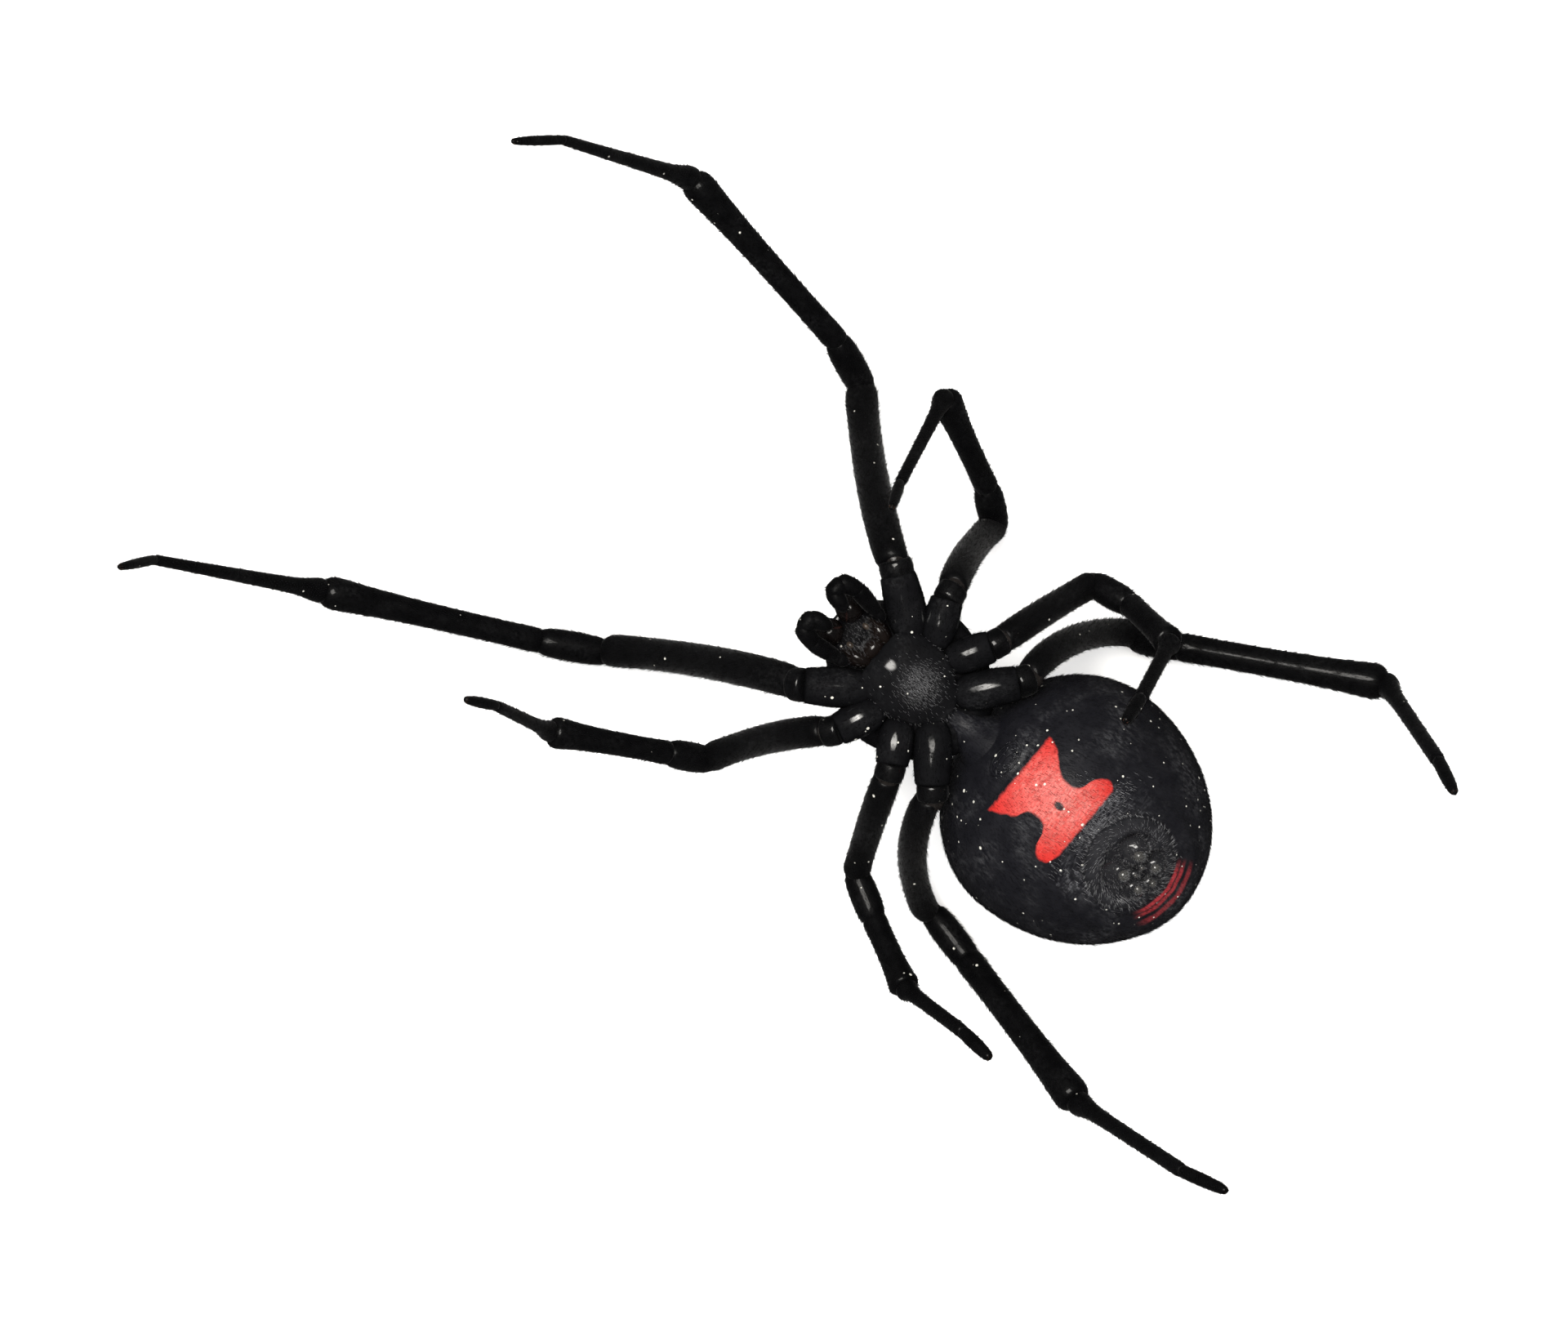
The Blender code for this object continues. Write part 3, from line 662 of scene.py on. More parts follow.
def plain_cuticle(name, first, second, rough, scale=6.0, depth=0.008, coat=0.0, shine=0.5, marked=None):
    """Makes a small part's finish: two mottled colours, and a third inside the hourglass if asked."""
    surface, nodes, shader = finish(name, coat, shine)
    mottle = nodes.noise(scale, detail=4.0)
    colour = nodes.mix(mottle, first, second)
    if marked:
        colour = nodes.mix(nodes.effect(hourglass), colour, marked)
    nodes.fill(shader["Base Color"], colour)
    gloss = nodes.ramp(mottle, 0.3, 0.7, low=rough * 0.8, high=rough * 1.25)
    nodes.fill(shader["Roughness"], gloss)
    bump(nodes, shader, nodes.effect(relief, scales=34.0, sockets=0.3, hollows=0.8), depth)
    return surface


def grey(value):
    """Gives a neutral colour."""
    return (value, value, value)


membrane_finish = plain_cuticle("joint_membrane", (0.003, 0.0026, 0.0024), (0.012, 0.010, 0.009), 0.22,
                                shine=0.3)
jaw_finish = plain_cuticle("jaw_cuticle", (0.0016, 0.0015, 0.0015), (0.0045, 0.0032, 0.0028), 0.26,
                           coat=0.5, shine=0.1)
mouth_finish = plain_cuticle("mouth_cuticle", (0.0014, 0.0012, 0.0012), (0.0055, 0.0034, 0.0026), 0.3,
                             scale=2.5, coat=0.4, shine=0.1)
lip_finish = plain_cuticle("pale_lip", (0.006, 0.0045, 0.0035), (0.05, 0.038, 0.028), 0.35)
fang_finish = plain_cuticle("fang_cuticle", (0.004, 0.002, 0.0016), (0.014, 0.005, 0.004), 0.12, coat=0.5)
spinneret_finish = plain_cuticle("spinneret_skin", (0.002, 0.002, 0.0026), (0.012, 0.012, 0.0135), 0.35,
                                 depth=0.035, coat=0.7, shine=0.15)
mound_finish = plain_cuticle("mound_skin", (0.003, 0.003, 0.0038), (0.016, 0.016, 0.018), 0.5,
                             depth=0.03, shine=0.08)
spigot_finish = plain_cuticle("spigot_skin", grey(0.006), (0.05, 0.048, 0.044), 0.22, scale=14.0, coat=0.5)
eye_finish = plain_cuticle("eye_lens", (0.004, 0.003, 0.004), (0.02, 0.012, 0.012), 0.05, depth=0.0005,
                           coat=1.0)
claw_finish = plain_cuticle("claw_cuticle", (0.006, 0.004, 0.003), (0.03, 0.016, 0.01), 0.16, coat=0.4)
bristle_finish = plain_cuticle("bristle_black", grey(0.0007), (0.003, 0.0029, 0.0027), 0.5, shine=0.06)
belly_bristle_finish = plain_cuticle("bristle_black_and_red", (0.0018, 0.0018, 0.0022),
                                     (0.0085, 0.0085, 0.009), 0.5, shine=0.06, marked=SHADE_RED)
pale_bristle_finish = plain_cuticle("bristle_grey", (0.04, 0.04, 0.041), (0.34, 0.34, 0.345), 0.5,
                                    scale=3.0, shine=0.2)
belly_down_finish = plain_cuticle("bristle_grey_and_pink", (0.05, 0.05, 0.052), (0.42, 0.42, 0.43), 0.5,
                                  scale=3.0, shine=0.2, marked=(0.50, 0.19, 0.16))

# %% [markdown]
# ## The floor
# The pale background is a matte plane under the spider. It isn't part of the animal, so it is
# staging, and it stays out of reflections.

# %% The floor
FLOOR_SIZE = 1.2
bpy.ops.object.select_all(action="DESELECT")
bpy.ops.mesh.primitive_plane_add(size=FLOOR_SIZE)
floor = bpy.context.active_object
floor.name = "floor"
floor_finish = bpy.data.materials.new("floor_paint")
floor_finish.use_nodes = True
floor_shader = floor_finish.node_tree.nodes["Principled BSDF"]
floor_shader.inputs["Base Color"].default_value = (0.90, 0.90, 0.90, 1)
floor_shader.inputs["Roughness"].default_value = 0.9
floor_shader.inputs["Specular IOR Level"].default_value = 0.0
floor.data.materials.append(floor_finish)
floor.visible_glossy = False
floor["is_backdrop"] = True

# %% [markdown]
# ## A leg segment
# A spider's leg is a row of seven stiff tubes: coxa, trochanter, femur, patella, tibia,
# metatarsus and tarsus, with soft skin in the joints. Each tube is nearly round but swells and
# narrows along its length, so it is made as on a lathe: a disc is extruded ring by ring along
# +Z, and each new ring is resized to the tube's radius there. A bend sideways of each ring gives
# the femur its bow. The four pairs of legs differ, and the left and right legs of a pair share
# the same tubes, so each tube is modelled once for a pair and copied.

# %% Turn a segment
LEG_SIDES = 20


def turned(name, length, profile, bow=0.0, sides=LEG_SIDES):
    """Extrudes a disc along +Z through the radii of a profile and rounds the result."""
    share, radius = profile[0]
    bpy.ops.object.select_all(action="DESELECT")
    bpy.ops.mesh.primitive_circle_add(vertices=sides, radius=radius, fill_type="NGON",
                                      location=(0, 0, share * length))
    piece = settle(bpy.context.active_object, name)
    bpy.ops.object.mode_set(mode="EDIT")
    bpy.ops.mesh.select_all(action="SELECT")
    for next_share, next_radius in profile[1:]:
        sideways = 4 * bow * (next_share * (1 - next_share) - share * (1 - share))
        step = (sideways, 0, (next_share - share) * length)
        bpy.ops.mesh.extrude_region_move(TRANSFORM_OT_translate={"value": step})
        ratio = next_radius / radius
        centre = (4 * bow * next_share * (1 - next_share), 0, next_share * length)
        bpy.ops.transform.resize(value=(ratio, ratio, ratio), center_override=centre)
        share, radius = next_share, next_radius
    bpy.ops.mesh.select_all(action="SELECT")
    bpy.ops.mesh.normals_make_consistent(inside=False)
    bpy.ops.object.mode_set(mode="OBJECT")
    in_order(piece)
    return piece


def copy_between(master, name, start, end, sideways):
    """Copies a segment, stands it between two points and turns its bow sideways."""
    piece = stood(copied(master), start, (end - start).normalized(), sideways)
    piece.name = name
    return piece


# %% [markdown]
# ## The sizes and the pose of the legs
# The lengths come from the species and the photo, and the pose is a heading and a pitch for
# each segment, as the solids have it. The knees of the first and last pairs reach down to the
# floor, and all the feet point up, where the web's threads would be.

# %% Leg sizes and joints
SEGMENTS = ("coxa", "trochanter", "femur", "patella", "tibia", "metatarsus", "tarsus")
LENGTHS = {
    1: (0.40, 7.15, 1.90, 6.30, 6.60, 2.00),
    2: (0.40, 4.80, 1.50, 3.60, 4.20, 1.50),
    3: (0.40, 3.80, 1.35, 2.40, 3.00, 1.30),
    4: (0.40, 5.85, 1.60, 5.70, 5.60, 1.70),
}
COXAE = {
    1: ((1.15, -1.05, 5.35), (1.95, -2.13, 5.50)),
    2: ((1.38, -0.28, 5.35), (2.30, -0.68, 5.45)),
    3: ((1.30, 0.58, 5.35), (2.09, 1.05, 5.45)),
    4: ((0.80, 1.42, 5.35), (1.80, 2.24, 5.35)),
}
POSE = {
    (1, LEFT): ((37.5, 8), (40.5, -47.2), (19.5, 40), (7.5, 22.5), (-27.5, 58.5), (-45.5, 50)),
    (2, LEFT): ((82, -20), (85.5, -64.5), (36, 41.5), (23.5, 42.5), (-102.5, 50), (-111, 61)),
    (3, LEFT): ((111.5, -10), (108.5, -40), (170.5, 34), (186, 53), (260.5, 55), (266, 53.5)),
    (4, LEFT): ((119, -15), (120, -57.4), (151, 40), (150, 0), (202, 65), (208.5, 59)),
    (1, RIGHT): ((33.5, -35), (30.5, -43.5), (30, 12), (27, 18), (29.5, 49), (55, 65.5)),
    (2, RIGHT): ((51, -20), (54, -48), (29.5, 41.5), (29.5, 26.5), (12, 68.5), (28, 59)),
    (3, RIGHT): ((113, -10), (112.5, -44), (151.5, 7), (154.5, 33.5), (184.5, 51.5), (176.5, 42.5)),
    (4, RIGHT): ((131, -15), (131.5, -56.9), (167.5, 12), (167.5, 33.5), (188.5, 56), (197.5, 45)),
}
COXA_RADIUS = {1: 0.56, 2: 0.50, 3: 0.50, 4: 0.54}
TROCHANTER_RADIUS = {1: 0.47, 2: 0.42, 3: 0.41, 4: 0.44}
FEMUR_RADIUS = {1: 0.475, 2: 0.43, 3: 0.40, 4: 0.41}
PATELLA_RADIUS = {1: 0.42, 2: 0.41, 3: 0.40, 4: 0.42}
TIBIA_RADII = {1: (0.335, 0.44), 2: (0.32, 0.42), 3: (0.33, 0.405), 4: (0.38, 0.48)}
# The metatarsus at its root and end, and the tarsus at its middle
FOOT_RADII = {1: (0.21, 0.15, 0.135), 2: (0.18, 0.155, 0.15), 3: (0.195, 0.19, 0.19), 4: (0.21, 0.205, 0.18)}
FEMUR_BOW = {1: 0.16, 2: 0.15, 3: 0.04, 4: 0.44}


def mirrored(point, side):
    """Takes a right-hand point to either side of the body."""
    return Vector((side * point[0], point[1], point[2]))


def direction(heading, pitch, side):
    """Gives the unit vector for a heading and a pitch in degrees."""
    level = cos(radians(pitch))
    return Vector((side * sin(radians(heading)) * level, -cos(radians(heading)) * level, sin(radians(pitch))))


def leg_joints(pair, side):
    """Gives the eight points where a leg's segments begin and end."""
    joints = [mirrored(point, side) for point in COXAE[pair]]
    for length, (heading, pitch) in zip(LENGTHS[pair], POSE[pair, side]):
        joints.append(joints[-1] + direction(heading, pitch, side) * length)
    return joints


def leg_profiles(pair):
    """Gives each segment's radii at shares of its length, with rounded ends."""
    coxa, femur, patella = COXA_RADIUS[pair], FEMUR_RADIUS[pair], PATELLA_RADIUS[pair]
    hip = TROCHANTER_RADIUS[pair]
    slim, stout = TIBIA_RADII[pair]
    root, end, foot = FOOT_RADII[pair]
    return {
        "coxa": ((-0.42, 0.15), (-0.38, coxa * 0.5), (-0.25, coxa * 0.80), (-0.05, coxa * 0.94), (0.15, coxa),
                 (0.4, coxa * 1.01), (0.65, coxa * 0.97), (0.85, coxa * 0.92), (0.96, coxa * 0.89),
                 (1.01, coxa * 0.84), (1.03, 0.2)),
        "trochanter": ((-0.25, 0.2), (-0.2, hip * 0.94), (0.0, hip), (0.5, hip * 1.01), (0.92, hip * 0.98),
                       (1.04, hip * 0.92), (1.1, 0.14)),
        "femur": ((-0.03, 0.15), (-0.022, 0.33), (0.0, femur * 0.93), (0.03, femur * 0.97), (0.09, femur),
                  (0.25, femur), (0.45, femur * 0.98), (0.65, femur * 0.94), (0.84, femur * 0.93),
                  (0.93, femur * 0.97), (0.97, femur * 0.95), (0.992, femur * 0.8), (1.003, 0.26),
                  (1.005, 0.1)),
        "patella": ((-0.07, 0.12), (-0.05, 0.26), (0.0, 0.345), (0.10, patella * 0.93), (0.3, patella),
                    (0.6, patella * 1.02), (0.86, patella * 0.97), (0.96, slim * 1.02), (1.02, slim * 0.85),
                    (1.04, 0.12)),
        "tibia": ((-0.03, 0.12), (-0.02, slim * 0.84), (0.0, slim * 1.0), (0.04, slim * 1.08), (0.12, slim),
                  (0.35, slim * 1.02), (0.55, slim * 0.85 + stout * 0.15), (0.75, slim * 0.5 + stout * 0.5),
                  (0.88, stout), (0.945, stout * 1.07), (0.98, stout * 0.98), (1.0, stout * 0.7),
                  (1.015, stout * 0.4), (1.02, 0.08)),
        "metatarsus": ((-0.03, 0.1), (-0.02, root * 1.2), (0.0, root * 1.6), (0.035, root * 1.7),
                       (0.08, root * 1.4), (0.15, root * 1.1), (0.3, root), (0.6, (root + end) / 2),
                       (0.9, end), (0.98, end * 1.03), (1.0, end * 0.85), (1.01, end * 0.4)),
        "tarsus": ((-0.03, 0.04), (-0.02, end * 0.72), (0.0, end * 0.86), (0.06, foot), (0.4, foot * 1.05),
                   (0.7, foot * 0.96), (0.9, foot * 0.82), (0.98, foot * 0.64), (1.01, foot * 0.45),
                   (1.025, foot * 0.1)),
    }


# How closely the bristles stand on each segment, and how long they are
COVER = {"coxa": 0.5, "trochanter": 0.6, "femur": 0.9, "patella": 0.9, "tibia": 1.0, "metatarsus": 1.4,
         "tarsus": 1.8}
REACH = {"coxa": 0.7, "trochanter": 0.7, "femur": 0.95, "patella": 1.0, "tibia": 1.0, "metatarsus": 0.9,
         "tarsus": 0.75}
# How much clear polish lies over each segment, which shows as small bright glints
POLISH = {"coxa": 0.8, "trochanter": 0.35, "femur": 0.05, "patella": 0.1, "tibia": 0.14, "metatarsus": 0.1,
          "tarsus": 0.1}
# How velvety the middle of a femur is, and where along each coxa its glint lies
FEMUR_VELVET = 0.10
GLINT_WIDTH = 0.14
COXA_GLINT = {1: 0.18, 2: 0.40, 3: 0.30, 4: 0.30}

# %% [markdown]
# ## Building the legs
# For each pair the seven tubes are turned once. For each side they are copied into place, soft
# joint skin is set between them, and the whole leg is joined and rounded into one skin. Each
# coxa keeps a small polished place, where its glint is in the photo, and each femur a soft sheen
# in the middle.

# %% Eight legs
MEMBRANE_RADII = {2: 0.33, 3: 0.31, 4: 0.27, 5: 0.21, 6: 0.11}
leg_skins = {}
foot_tips = {}
for pair in LENGTHS:
    profiles = leg_profiles(pair)
    spans = (sqrt(sum((a - b) ** 2 for a, b in zip(*COXAE[pair]))),) + LENGTHS[pair]
    masters = {}
    for name, span in zip(SEGMENTS, spans):
        bow = FEMUR_BOW[pair] if name == "femur" else 0.0
        masters[name] = turned(f"{name}_master", span, profiles[name], bow)
    for side in (LEFT, RIGHT):
        joints = leg_joints(pair, side)
        heading = radians(POSE[pair, side][1][0])
        headward = Vector((-side * cos(heading), -sin(heading), 0))
        pieces = []
        for number, name in enumerate(SEGMENTS):
            start, end = joints[number], joints[number + 1]
            piece = copy_between(masters[name], name, start, end, headward)
            surface = thorax_finish if name == "coxa" else leg_finish
            comb(piece, surface, (end - start).normalized(), COVER[name], REACH[name], POLISH[name])
            for index, vert in enumerate(piece.data.vertices):
                share = (vert.co - start).dot(end - start) / (end - start).length_squared
                if name == "coxa":
                    near_base = bell(share - COXA_GLINT[pair], GLINT_WIDTH)
                    piece.data.attributes["polish"].data[index].value = near_base
                elif name == "femur":
                    along = min(max(share, 0), 1)
                    piece.data.attributes["velvet"].data[index].value += FEMUR_VELVET * sin(pi * along) ** 2
            pieces.append(piece)
        for number, radius in MEMBRANE_RADII.items():
            skin = ball("membrane", joints[number], (radius, radius, radius), 16, 10)
            comb(skin, membrane_finish, (0, 0, 1), 0.0, 0.0)
            pieces.append(skin)
        whole = joined(f"leg_{pair}_{SIDE_NAMES[side]}_skin", pieces)
        smooth_out(whole)
        rest_on_floor(whole)
        leg_skins[pair, side] = whole
        foot_tips[pair, side] = (joints[-2], joints[-1])
    for master in masters.values():
        bpy.data.objects.remove(master)
print("legs", {piece.name: len(piece.data.polygons) for piece in leg_skins.values()})

# %% [markdown]
# ## Claws
# A cobweb spider has three claws at the end of each foot, two toothed ones side by side and a
# smaller one below. One claw is a cone, cut into rings and bent over with a Simple Deform
# modifier, then copied to each foot at its own size.

# %% A claw, and three on each foot


def curled_spike(name, sides, root, tip, length, cuts, angle):
    """Makes a cone along +Z, cuts it into rings and curls it by an angle in degrees."""
    bpy.ops.object.select_all(action="DESELECT")
    bpy.ops.mesh.primitive_cone_add(vertices=sides, radius1=root, radius2=tip, depth=length,
                                    location=(0, 0, length / 2), end_fill_type="NGON")
    spike = settle(bpy.context.active_object, name)
    bpy.ops.object.mode_set(mode="EDIT")
    pick(spike, lambda middle: abs(middle.z - length / 2) < 0.01, "EDGE")
    bpy.ops.mesh.subdivide(number_cuts=cuts)
    bpy.ops.object.mode_set(mode="OBJECT")
    bpy.ops.object.modifier_add(type="SIMPLE_DEFORM")
    curl = spike.modifiers[-1]
    curl.deform_method = "BEND"
    curl.deform_axis = "Y"
    curl.angle = radians(angle)
    bpy.ops.object.modifier_apply(modifier=curl.name)
    bpy.ops.object.shade_smooth()
    return spike


claw = curled_spike("claw_master", 10, 0.032, 0.002, 0.20, 6, 75)
claw_sets = {}
for (pair, side), (heel, tip) in foot_tips.items():
    along = (tip - heel).normalized()
    below = Vector((0, 0, 1)) - along.z * along
    below.normalize()
    sideways = along.cross(below)
    claws = []
    for out, drop, size in ((-0.045, 0.0, 1.0), (0.045, 0.0, 1.0), (0.0, 0.04, 0.7)):
        way = (along + sideways * out * 4 + below * 0.15).normalized()
        root = tip - along * 0.05 + sideways * out + below * drop
        one = stood(copied(claw), root, way, below, size)
        one.data.materials.append(claw_finish)
        claws.append(one)
    claw_sets[pair, side] = joined(f"leg_{pair}_{SIDE_NAMES[side]}_claws", claws)
bpy.data.objects.remove(claw)
print("feet with claws", len(claw_sets))

# %% [markdown]
# ## The front of the body
# The cephalothorax has a shield over the back, pear-shaped and narrow at the head, a heart-shaped
# breastplate between the legs, and flesh between the two where the legs sit. The shield starts
# as a sphere with its poles at head and tail. Each of its rings is resized to the shield's
# width there, and the belly half is pressed nearly flat.

# %% The shield of the back
CARAPACE_HALF_WIDTH = 2.12
CARAPACE_HALF_LENGTH = 2.2
CARAPACE_MIDDLE_Y = -0.5
CARAPACE_EDGE_Z = 4.45
CARAPACE_DEPTH = 1.3
CARAPACE_RIM = 0.12
CARAPACE_BLUNTNESS = 2.5
HEAD_NARROWING = 0.45
BACK_SLOPE = 0.35


def carapace_share(along):
    """Gives the shield's swelling against a plain sphere, at a place from head -1 to tail 1."""
    blunt = max(1 - abs(along) ** CARAPACE_BLUNTNESS, 0) ** (1 / CARAPACE_BLUNTNESS)
    return blunt / sqrt(max(1 - along * along, 1e-9))


CARAPACE_RINGS = 40
shield = ball("shield", (0, CARAPACE_MIDDLE_Y, CARAPACE_EDGE_Z), (1, 1, 1), 64, CARAPACE_RINGS)
bpy.ops.object.mode_set(mode="EDIT")
for number in range(1, CARAPACE_RINGS):
    along = -cos(pi * number / CARAPACE_RINGS)
    swell = carapace_share(along)
    narrow = 1 - HEAD_NARROWING * min(max((0.2 - along) / 1.2, 0), 1)
    depth = CARAPACE_DEPTH * (1 - BACK_SLOPE * max(along, 0) ** 2)
    ring_y = CARAPACE_MIDDLE_Y + along
    middle = (0, ring_y, CARAPACE_EDGE_Z)
    size = (swell * narrow * CARAPACE_HALF_WIDTH, 1, swell * depth)
    pick(shield, lambda co: abs(co.y - ring_y) < 1e-4)
    bpy.ops.transform.resize(value=size, center_override=middle)
bpy.ops.mesh.select_all(action="SELECT")
centre = (0, CARAPACE_MIDDLE_Y, CARAPACE_EDGE_Z)
bpy.ops.transform.resize(value=(1, CARAPACE_HALF_LENGTH, 1), center_override=centre)
pick(shield, lambda co: co.z > CARAPACE_EDGE_Z + 1e-4)
bpy.ops.transform.resize(value=(1, 1, CARAPACE_RIM / CARAPACE_DEPTH), center_override=centre)
bpy.ops.object.mode_set(mode="OBJECT")

# %% [markdown]
# On the back the shield has a hollow in the middle, where the muscles are fixed inside, two
# grooves that mark the head off from the rest, and faint furrows that run out to the legs.
# They are pressed into the mesh vertex by vertex, as with a sculpting brush.

# %% Grooves of the back
FOVEA = Vector((0, 0.45, 0))
FOVEA_DEPTH = 0.16
GROOVE_DEPTH = 0.07
FURROW_DEPTH = 0.02
for vert in shield.data.vertices:
    if vert.co.z > CARAPACE_EDGE_Z:
        continue
    from_fovea = Vector((vert.co.x, vert.co.y - FOVEA.y))
    dent = FOVEA_DEPTH * hump(from_fovea.x, from_fovea.y, 0, 0, 0.22, 0.32)
    groove_x = 0.25 + 0.75 * max(FOVEA.y - vert.co.y, 0) / 2.0
    in_head = -2.3 < vert.co.y < FOVEA.y
    groove = GROOVE_DEPTH * bell(abs(vert.co.x) - groove_x, 0.14) if in_head else 0
    furrow = FURROW_DEPTH * cos(8 * abs(from_fovea.x) / (abs(from_fovea.x) + abs(from_fovea.y) + 0.05) * pi)
    outward = min(from_fovea.length / 1.5, 1) * (1 - min(from_fovea.length / 2.6, 1))
    vert.co.z += dent + groove + furrow * outward
comb(shield, thorax_finish, (0, 1, 0), 0.5, 1.0, 0.6)
print("lowest point of the back, mm:", round(min(vert.co.z for vert in shield.data.vertices), 2))

# %% [markdown]
# The breastplate is drawn as a flat disc, shaped to its outline and raised in steps with extrude
# and resize, so that it is a low dome with a soft rim. A flattened ball below it stands for the
# flesh that the legs grow from, and a smaller one for the chin.

# %% Breastplate and flesh
STERNUM_HALF_WIDTH = 1.15
STERNUM_HALF_LENGTH = 1.3
STERNUM_MIDDLE_Y = 0.1
STERNUM_TAPER = 0.25
STERNUM_RISE = 0.30
STERNUM_TOP_Y = -0.30
STERNUM_EDGE_Z = 5.64
STERNUM_SHARES = (1.0, 0.985, 0.95, 0.88, 0.78, 0.66, 0.52, 0.37, 0.22, 0.08)
STERNUM_BASE_Z = 4.42
bpy.ops.object.select_all(action="DESELECT")
bpy.ops.mesh.primitive_circle_add(vertices=48, radius=1, fill_type="NGON", location=(0, 0, STERNUM_BASE_Z))
sternum = settle(bpy.context.active_object, "breastplate")
for vert in sternum.data.vertices:
    along = vert.co.y
    if along < 0:
        square = max(1 - along ** 4, 0) ** 0.25
        width = square / sqrt(max(1 - along * along, 1e-6))
    else:
        width = 1 - STERNUM_TAPER * along
    vert.co.x *= STERNUM_HALF_WIDTH * width
    vert.co.y = STERNUM_MIDDLE_Y + along * STERNUM_HALF_LENGTH
bpy.ops.object.mode_set(mode="EDIT")
bpy.ops.mesh.select_all(action="SELECT")
bpy.ops.mesh.extrude_region_move(TRANSFORM_OT_translate={"value": (0, 0, STERNUM_EDGE_Z - STERNUM_BASE_Z)})
height = STERNUM_EDGE_Z
last_share = 1.0
for share in STERNUM_SHARES[1:]:
    next_height = STERNUM_EDGE_Z + STERNUM_RISE * (1 - share * share) ** 0.6
    centre_y = STERNUM_MIDDLE_Y + (STERNUM_TOP_Y - STERNUM_MIDDLE_Y) * (1 - share)
    bpy.ops.mesh.extrude_region_move(TRANSFORM_OT_translate={"value": (0, 0, next_height - height)})
    ratio = share / last_share
    last_centre_y = STERNUM_MIDDLE_Y + (STERNUM_TOP_Y - STERNUM_MIDDLE_Y) * (1 - last_share)
    bpy.ops.transform.resize(value=(ratio, ratio, 1), center_override=(0, last_centre_y, next_height))
    bpy.ops.transform.translate(value=(0, centre_y - last_centre_y, 0))
    height = next_height
    last_share = share
bpy.ops.object.mode_set(mode="OBJECT")
in_order(sternum)
comb(sternum, thorax_finish, (0, 1, 0), 1.5, 0.8)
print("breastplate top", round(height, 3), "mm")

flesh = ball("flesh", (0, 0.02, 4.78), (2.0, 2.36, 0.72), 48, 28)
chin = ball("chin", (0, -1.95, 4.85), (1.05, 0.62, 0.50), 32, 18)
for piece in (flesh, chin):
    comb(piece, thorax_finish, (0, 1, 0), 1.0, 0.7)

# %% [markdown]
# ## Mouth, jaws and fangs
# In front of the breastplate is the lip, a small plate, with a lobe on each side that belongs to
# the feeler. Their tips are pale and soft. In front of them hang the two jaws, each with a
# short fang folded across its end.

# %% Lip and lobes
labium = ball("lip", (0, -1.36, 5.48), (0.36, 0.26, 0.34), 24, 16)
comb(labium, mouth_finish, (0, -1, 0), 0.6, 0.7)
mouth_parts = [labium]
for side in (LEFT, RIGHT):
    lobe = ball("lobe", (0, 0, 0), (0.27, 0.50, 0.60), 24, 18)
    bpy.ops.object.mode_set(mode="EDIT")
    pick(lobe, lambda co: co.y < -0.2)
    bpy.ops.transform.resize(value=(0.8, 1, 0.9), center_override=(0, -0.2, 0))
    bpy.ops.object.mode_set(mode="OBJECT")
    lobe.matrix_world = Matrix.Translation((side * 0.46, -1.52, 5.28)) @ Matrix.Rotation(side * 0.28, 4, "Z")
    settle(lobe)
    comb(lobe, mouth_finish, (0, -1, 0.2), 0.9, 0.8)
    tip = ball("lobe_tip", (side * 0.33, -1.88, 5.50), (0.08, 0.12, 0.13), 16, 10)
    comb(tip, lip_finish, (0, -1, 0.2), 0.0, 0.0)
    mouth_parts += [lobe, tip]

thorax_skin = joined("cephalothorax_skin", [shield, sternum, flesh, chin] + mouth_parts)
only(thorax_skin)
bpy.ops.object.shade_smooth()
print("front body faces", len(thorax_skin.data.polygons))

# %% [markdown]
# Each jaw is turned from a profile like a leg segment, because it is round and a little swollen,
# and a subdivision surface rounds it. The fang is a curled cone, as the claws are.

# %% Jaws and fangs
JAW_TOP = Vector((0.43, -2.42, 4.64))
JAW_END = Vector((0.40, -2.60, 5.60))
JAW_PROFILE = ((-0.12, 0.12), (-0.08, 0.24), (0.05, 0.36), (0.35, 0.41), (0.65, 0.40), (0.82, 0.34),
               (0.94, 0.22), (1.0, 0.08))
jaw_length = (JAW_END - JAW_TOP).length
jaw_master = turned("jaw_master", jaw_length, JAW_PROFILE)
fang = curled_spike("fang_master", 14, 0.085, 0.006, 0.44, 8, 60)

jaws, fangs = {}, {}
for side in (LEFT, RIGHT):
    start, end = mirrored(JAW_TOP, side), mirrored(JAW_END, side)
    jaw = copy_between(jaw_master, f"chelicera_{SIDE_NAMES[side]}_skin", start, end, Vector((1, 0, 0)))
    comb(jaw, jaw_finish, (end - start).normalized(), 0.8, 0.9)
    smooth_out(jaw)
    jaws[side] = jaw
    way = Vector((-side * 0.80, 0.60, 0.28)).normalized()
    one = stood(copied(fang), end - Vector((0, 0, 0.09)), way, Vector((0, 0, -1)))
    one.name = f"fang_{SIDE_NAMES[side]}"
    one.data.materials.append(fang_finish)
    fangs[side] = one
for master in (jaw_master, fang):
    bpy.data.objects.remove(master)
print("jaws", len(jaws), "fangs", len(fangs), "each jaw, mm:", round(jaw_length, 2))

# %% [markdown]
# ## Feelers
# The two feelers are like small legs of one segment fewer. They are folded in front of the jaws
# with their tips turned back in, so each makes a small loop.

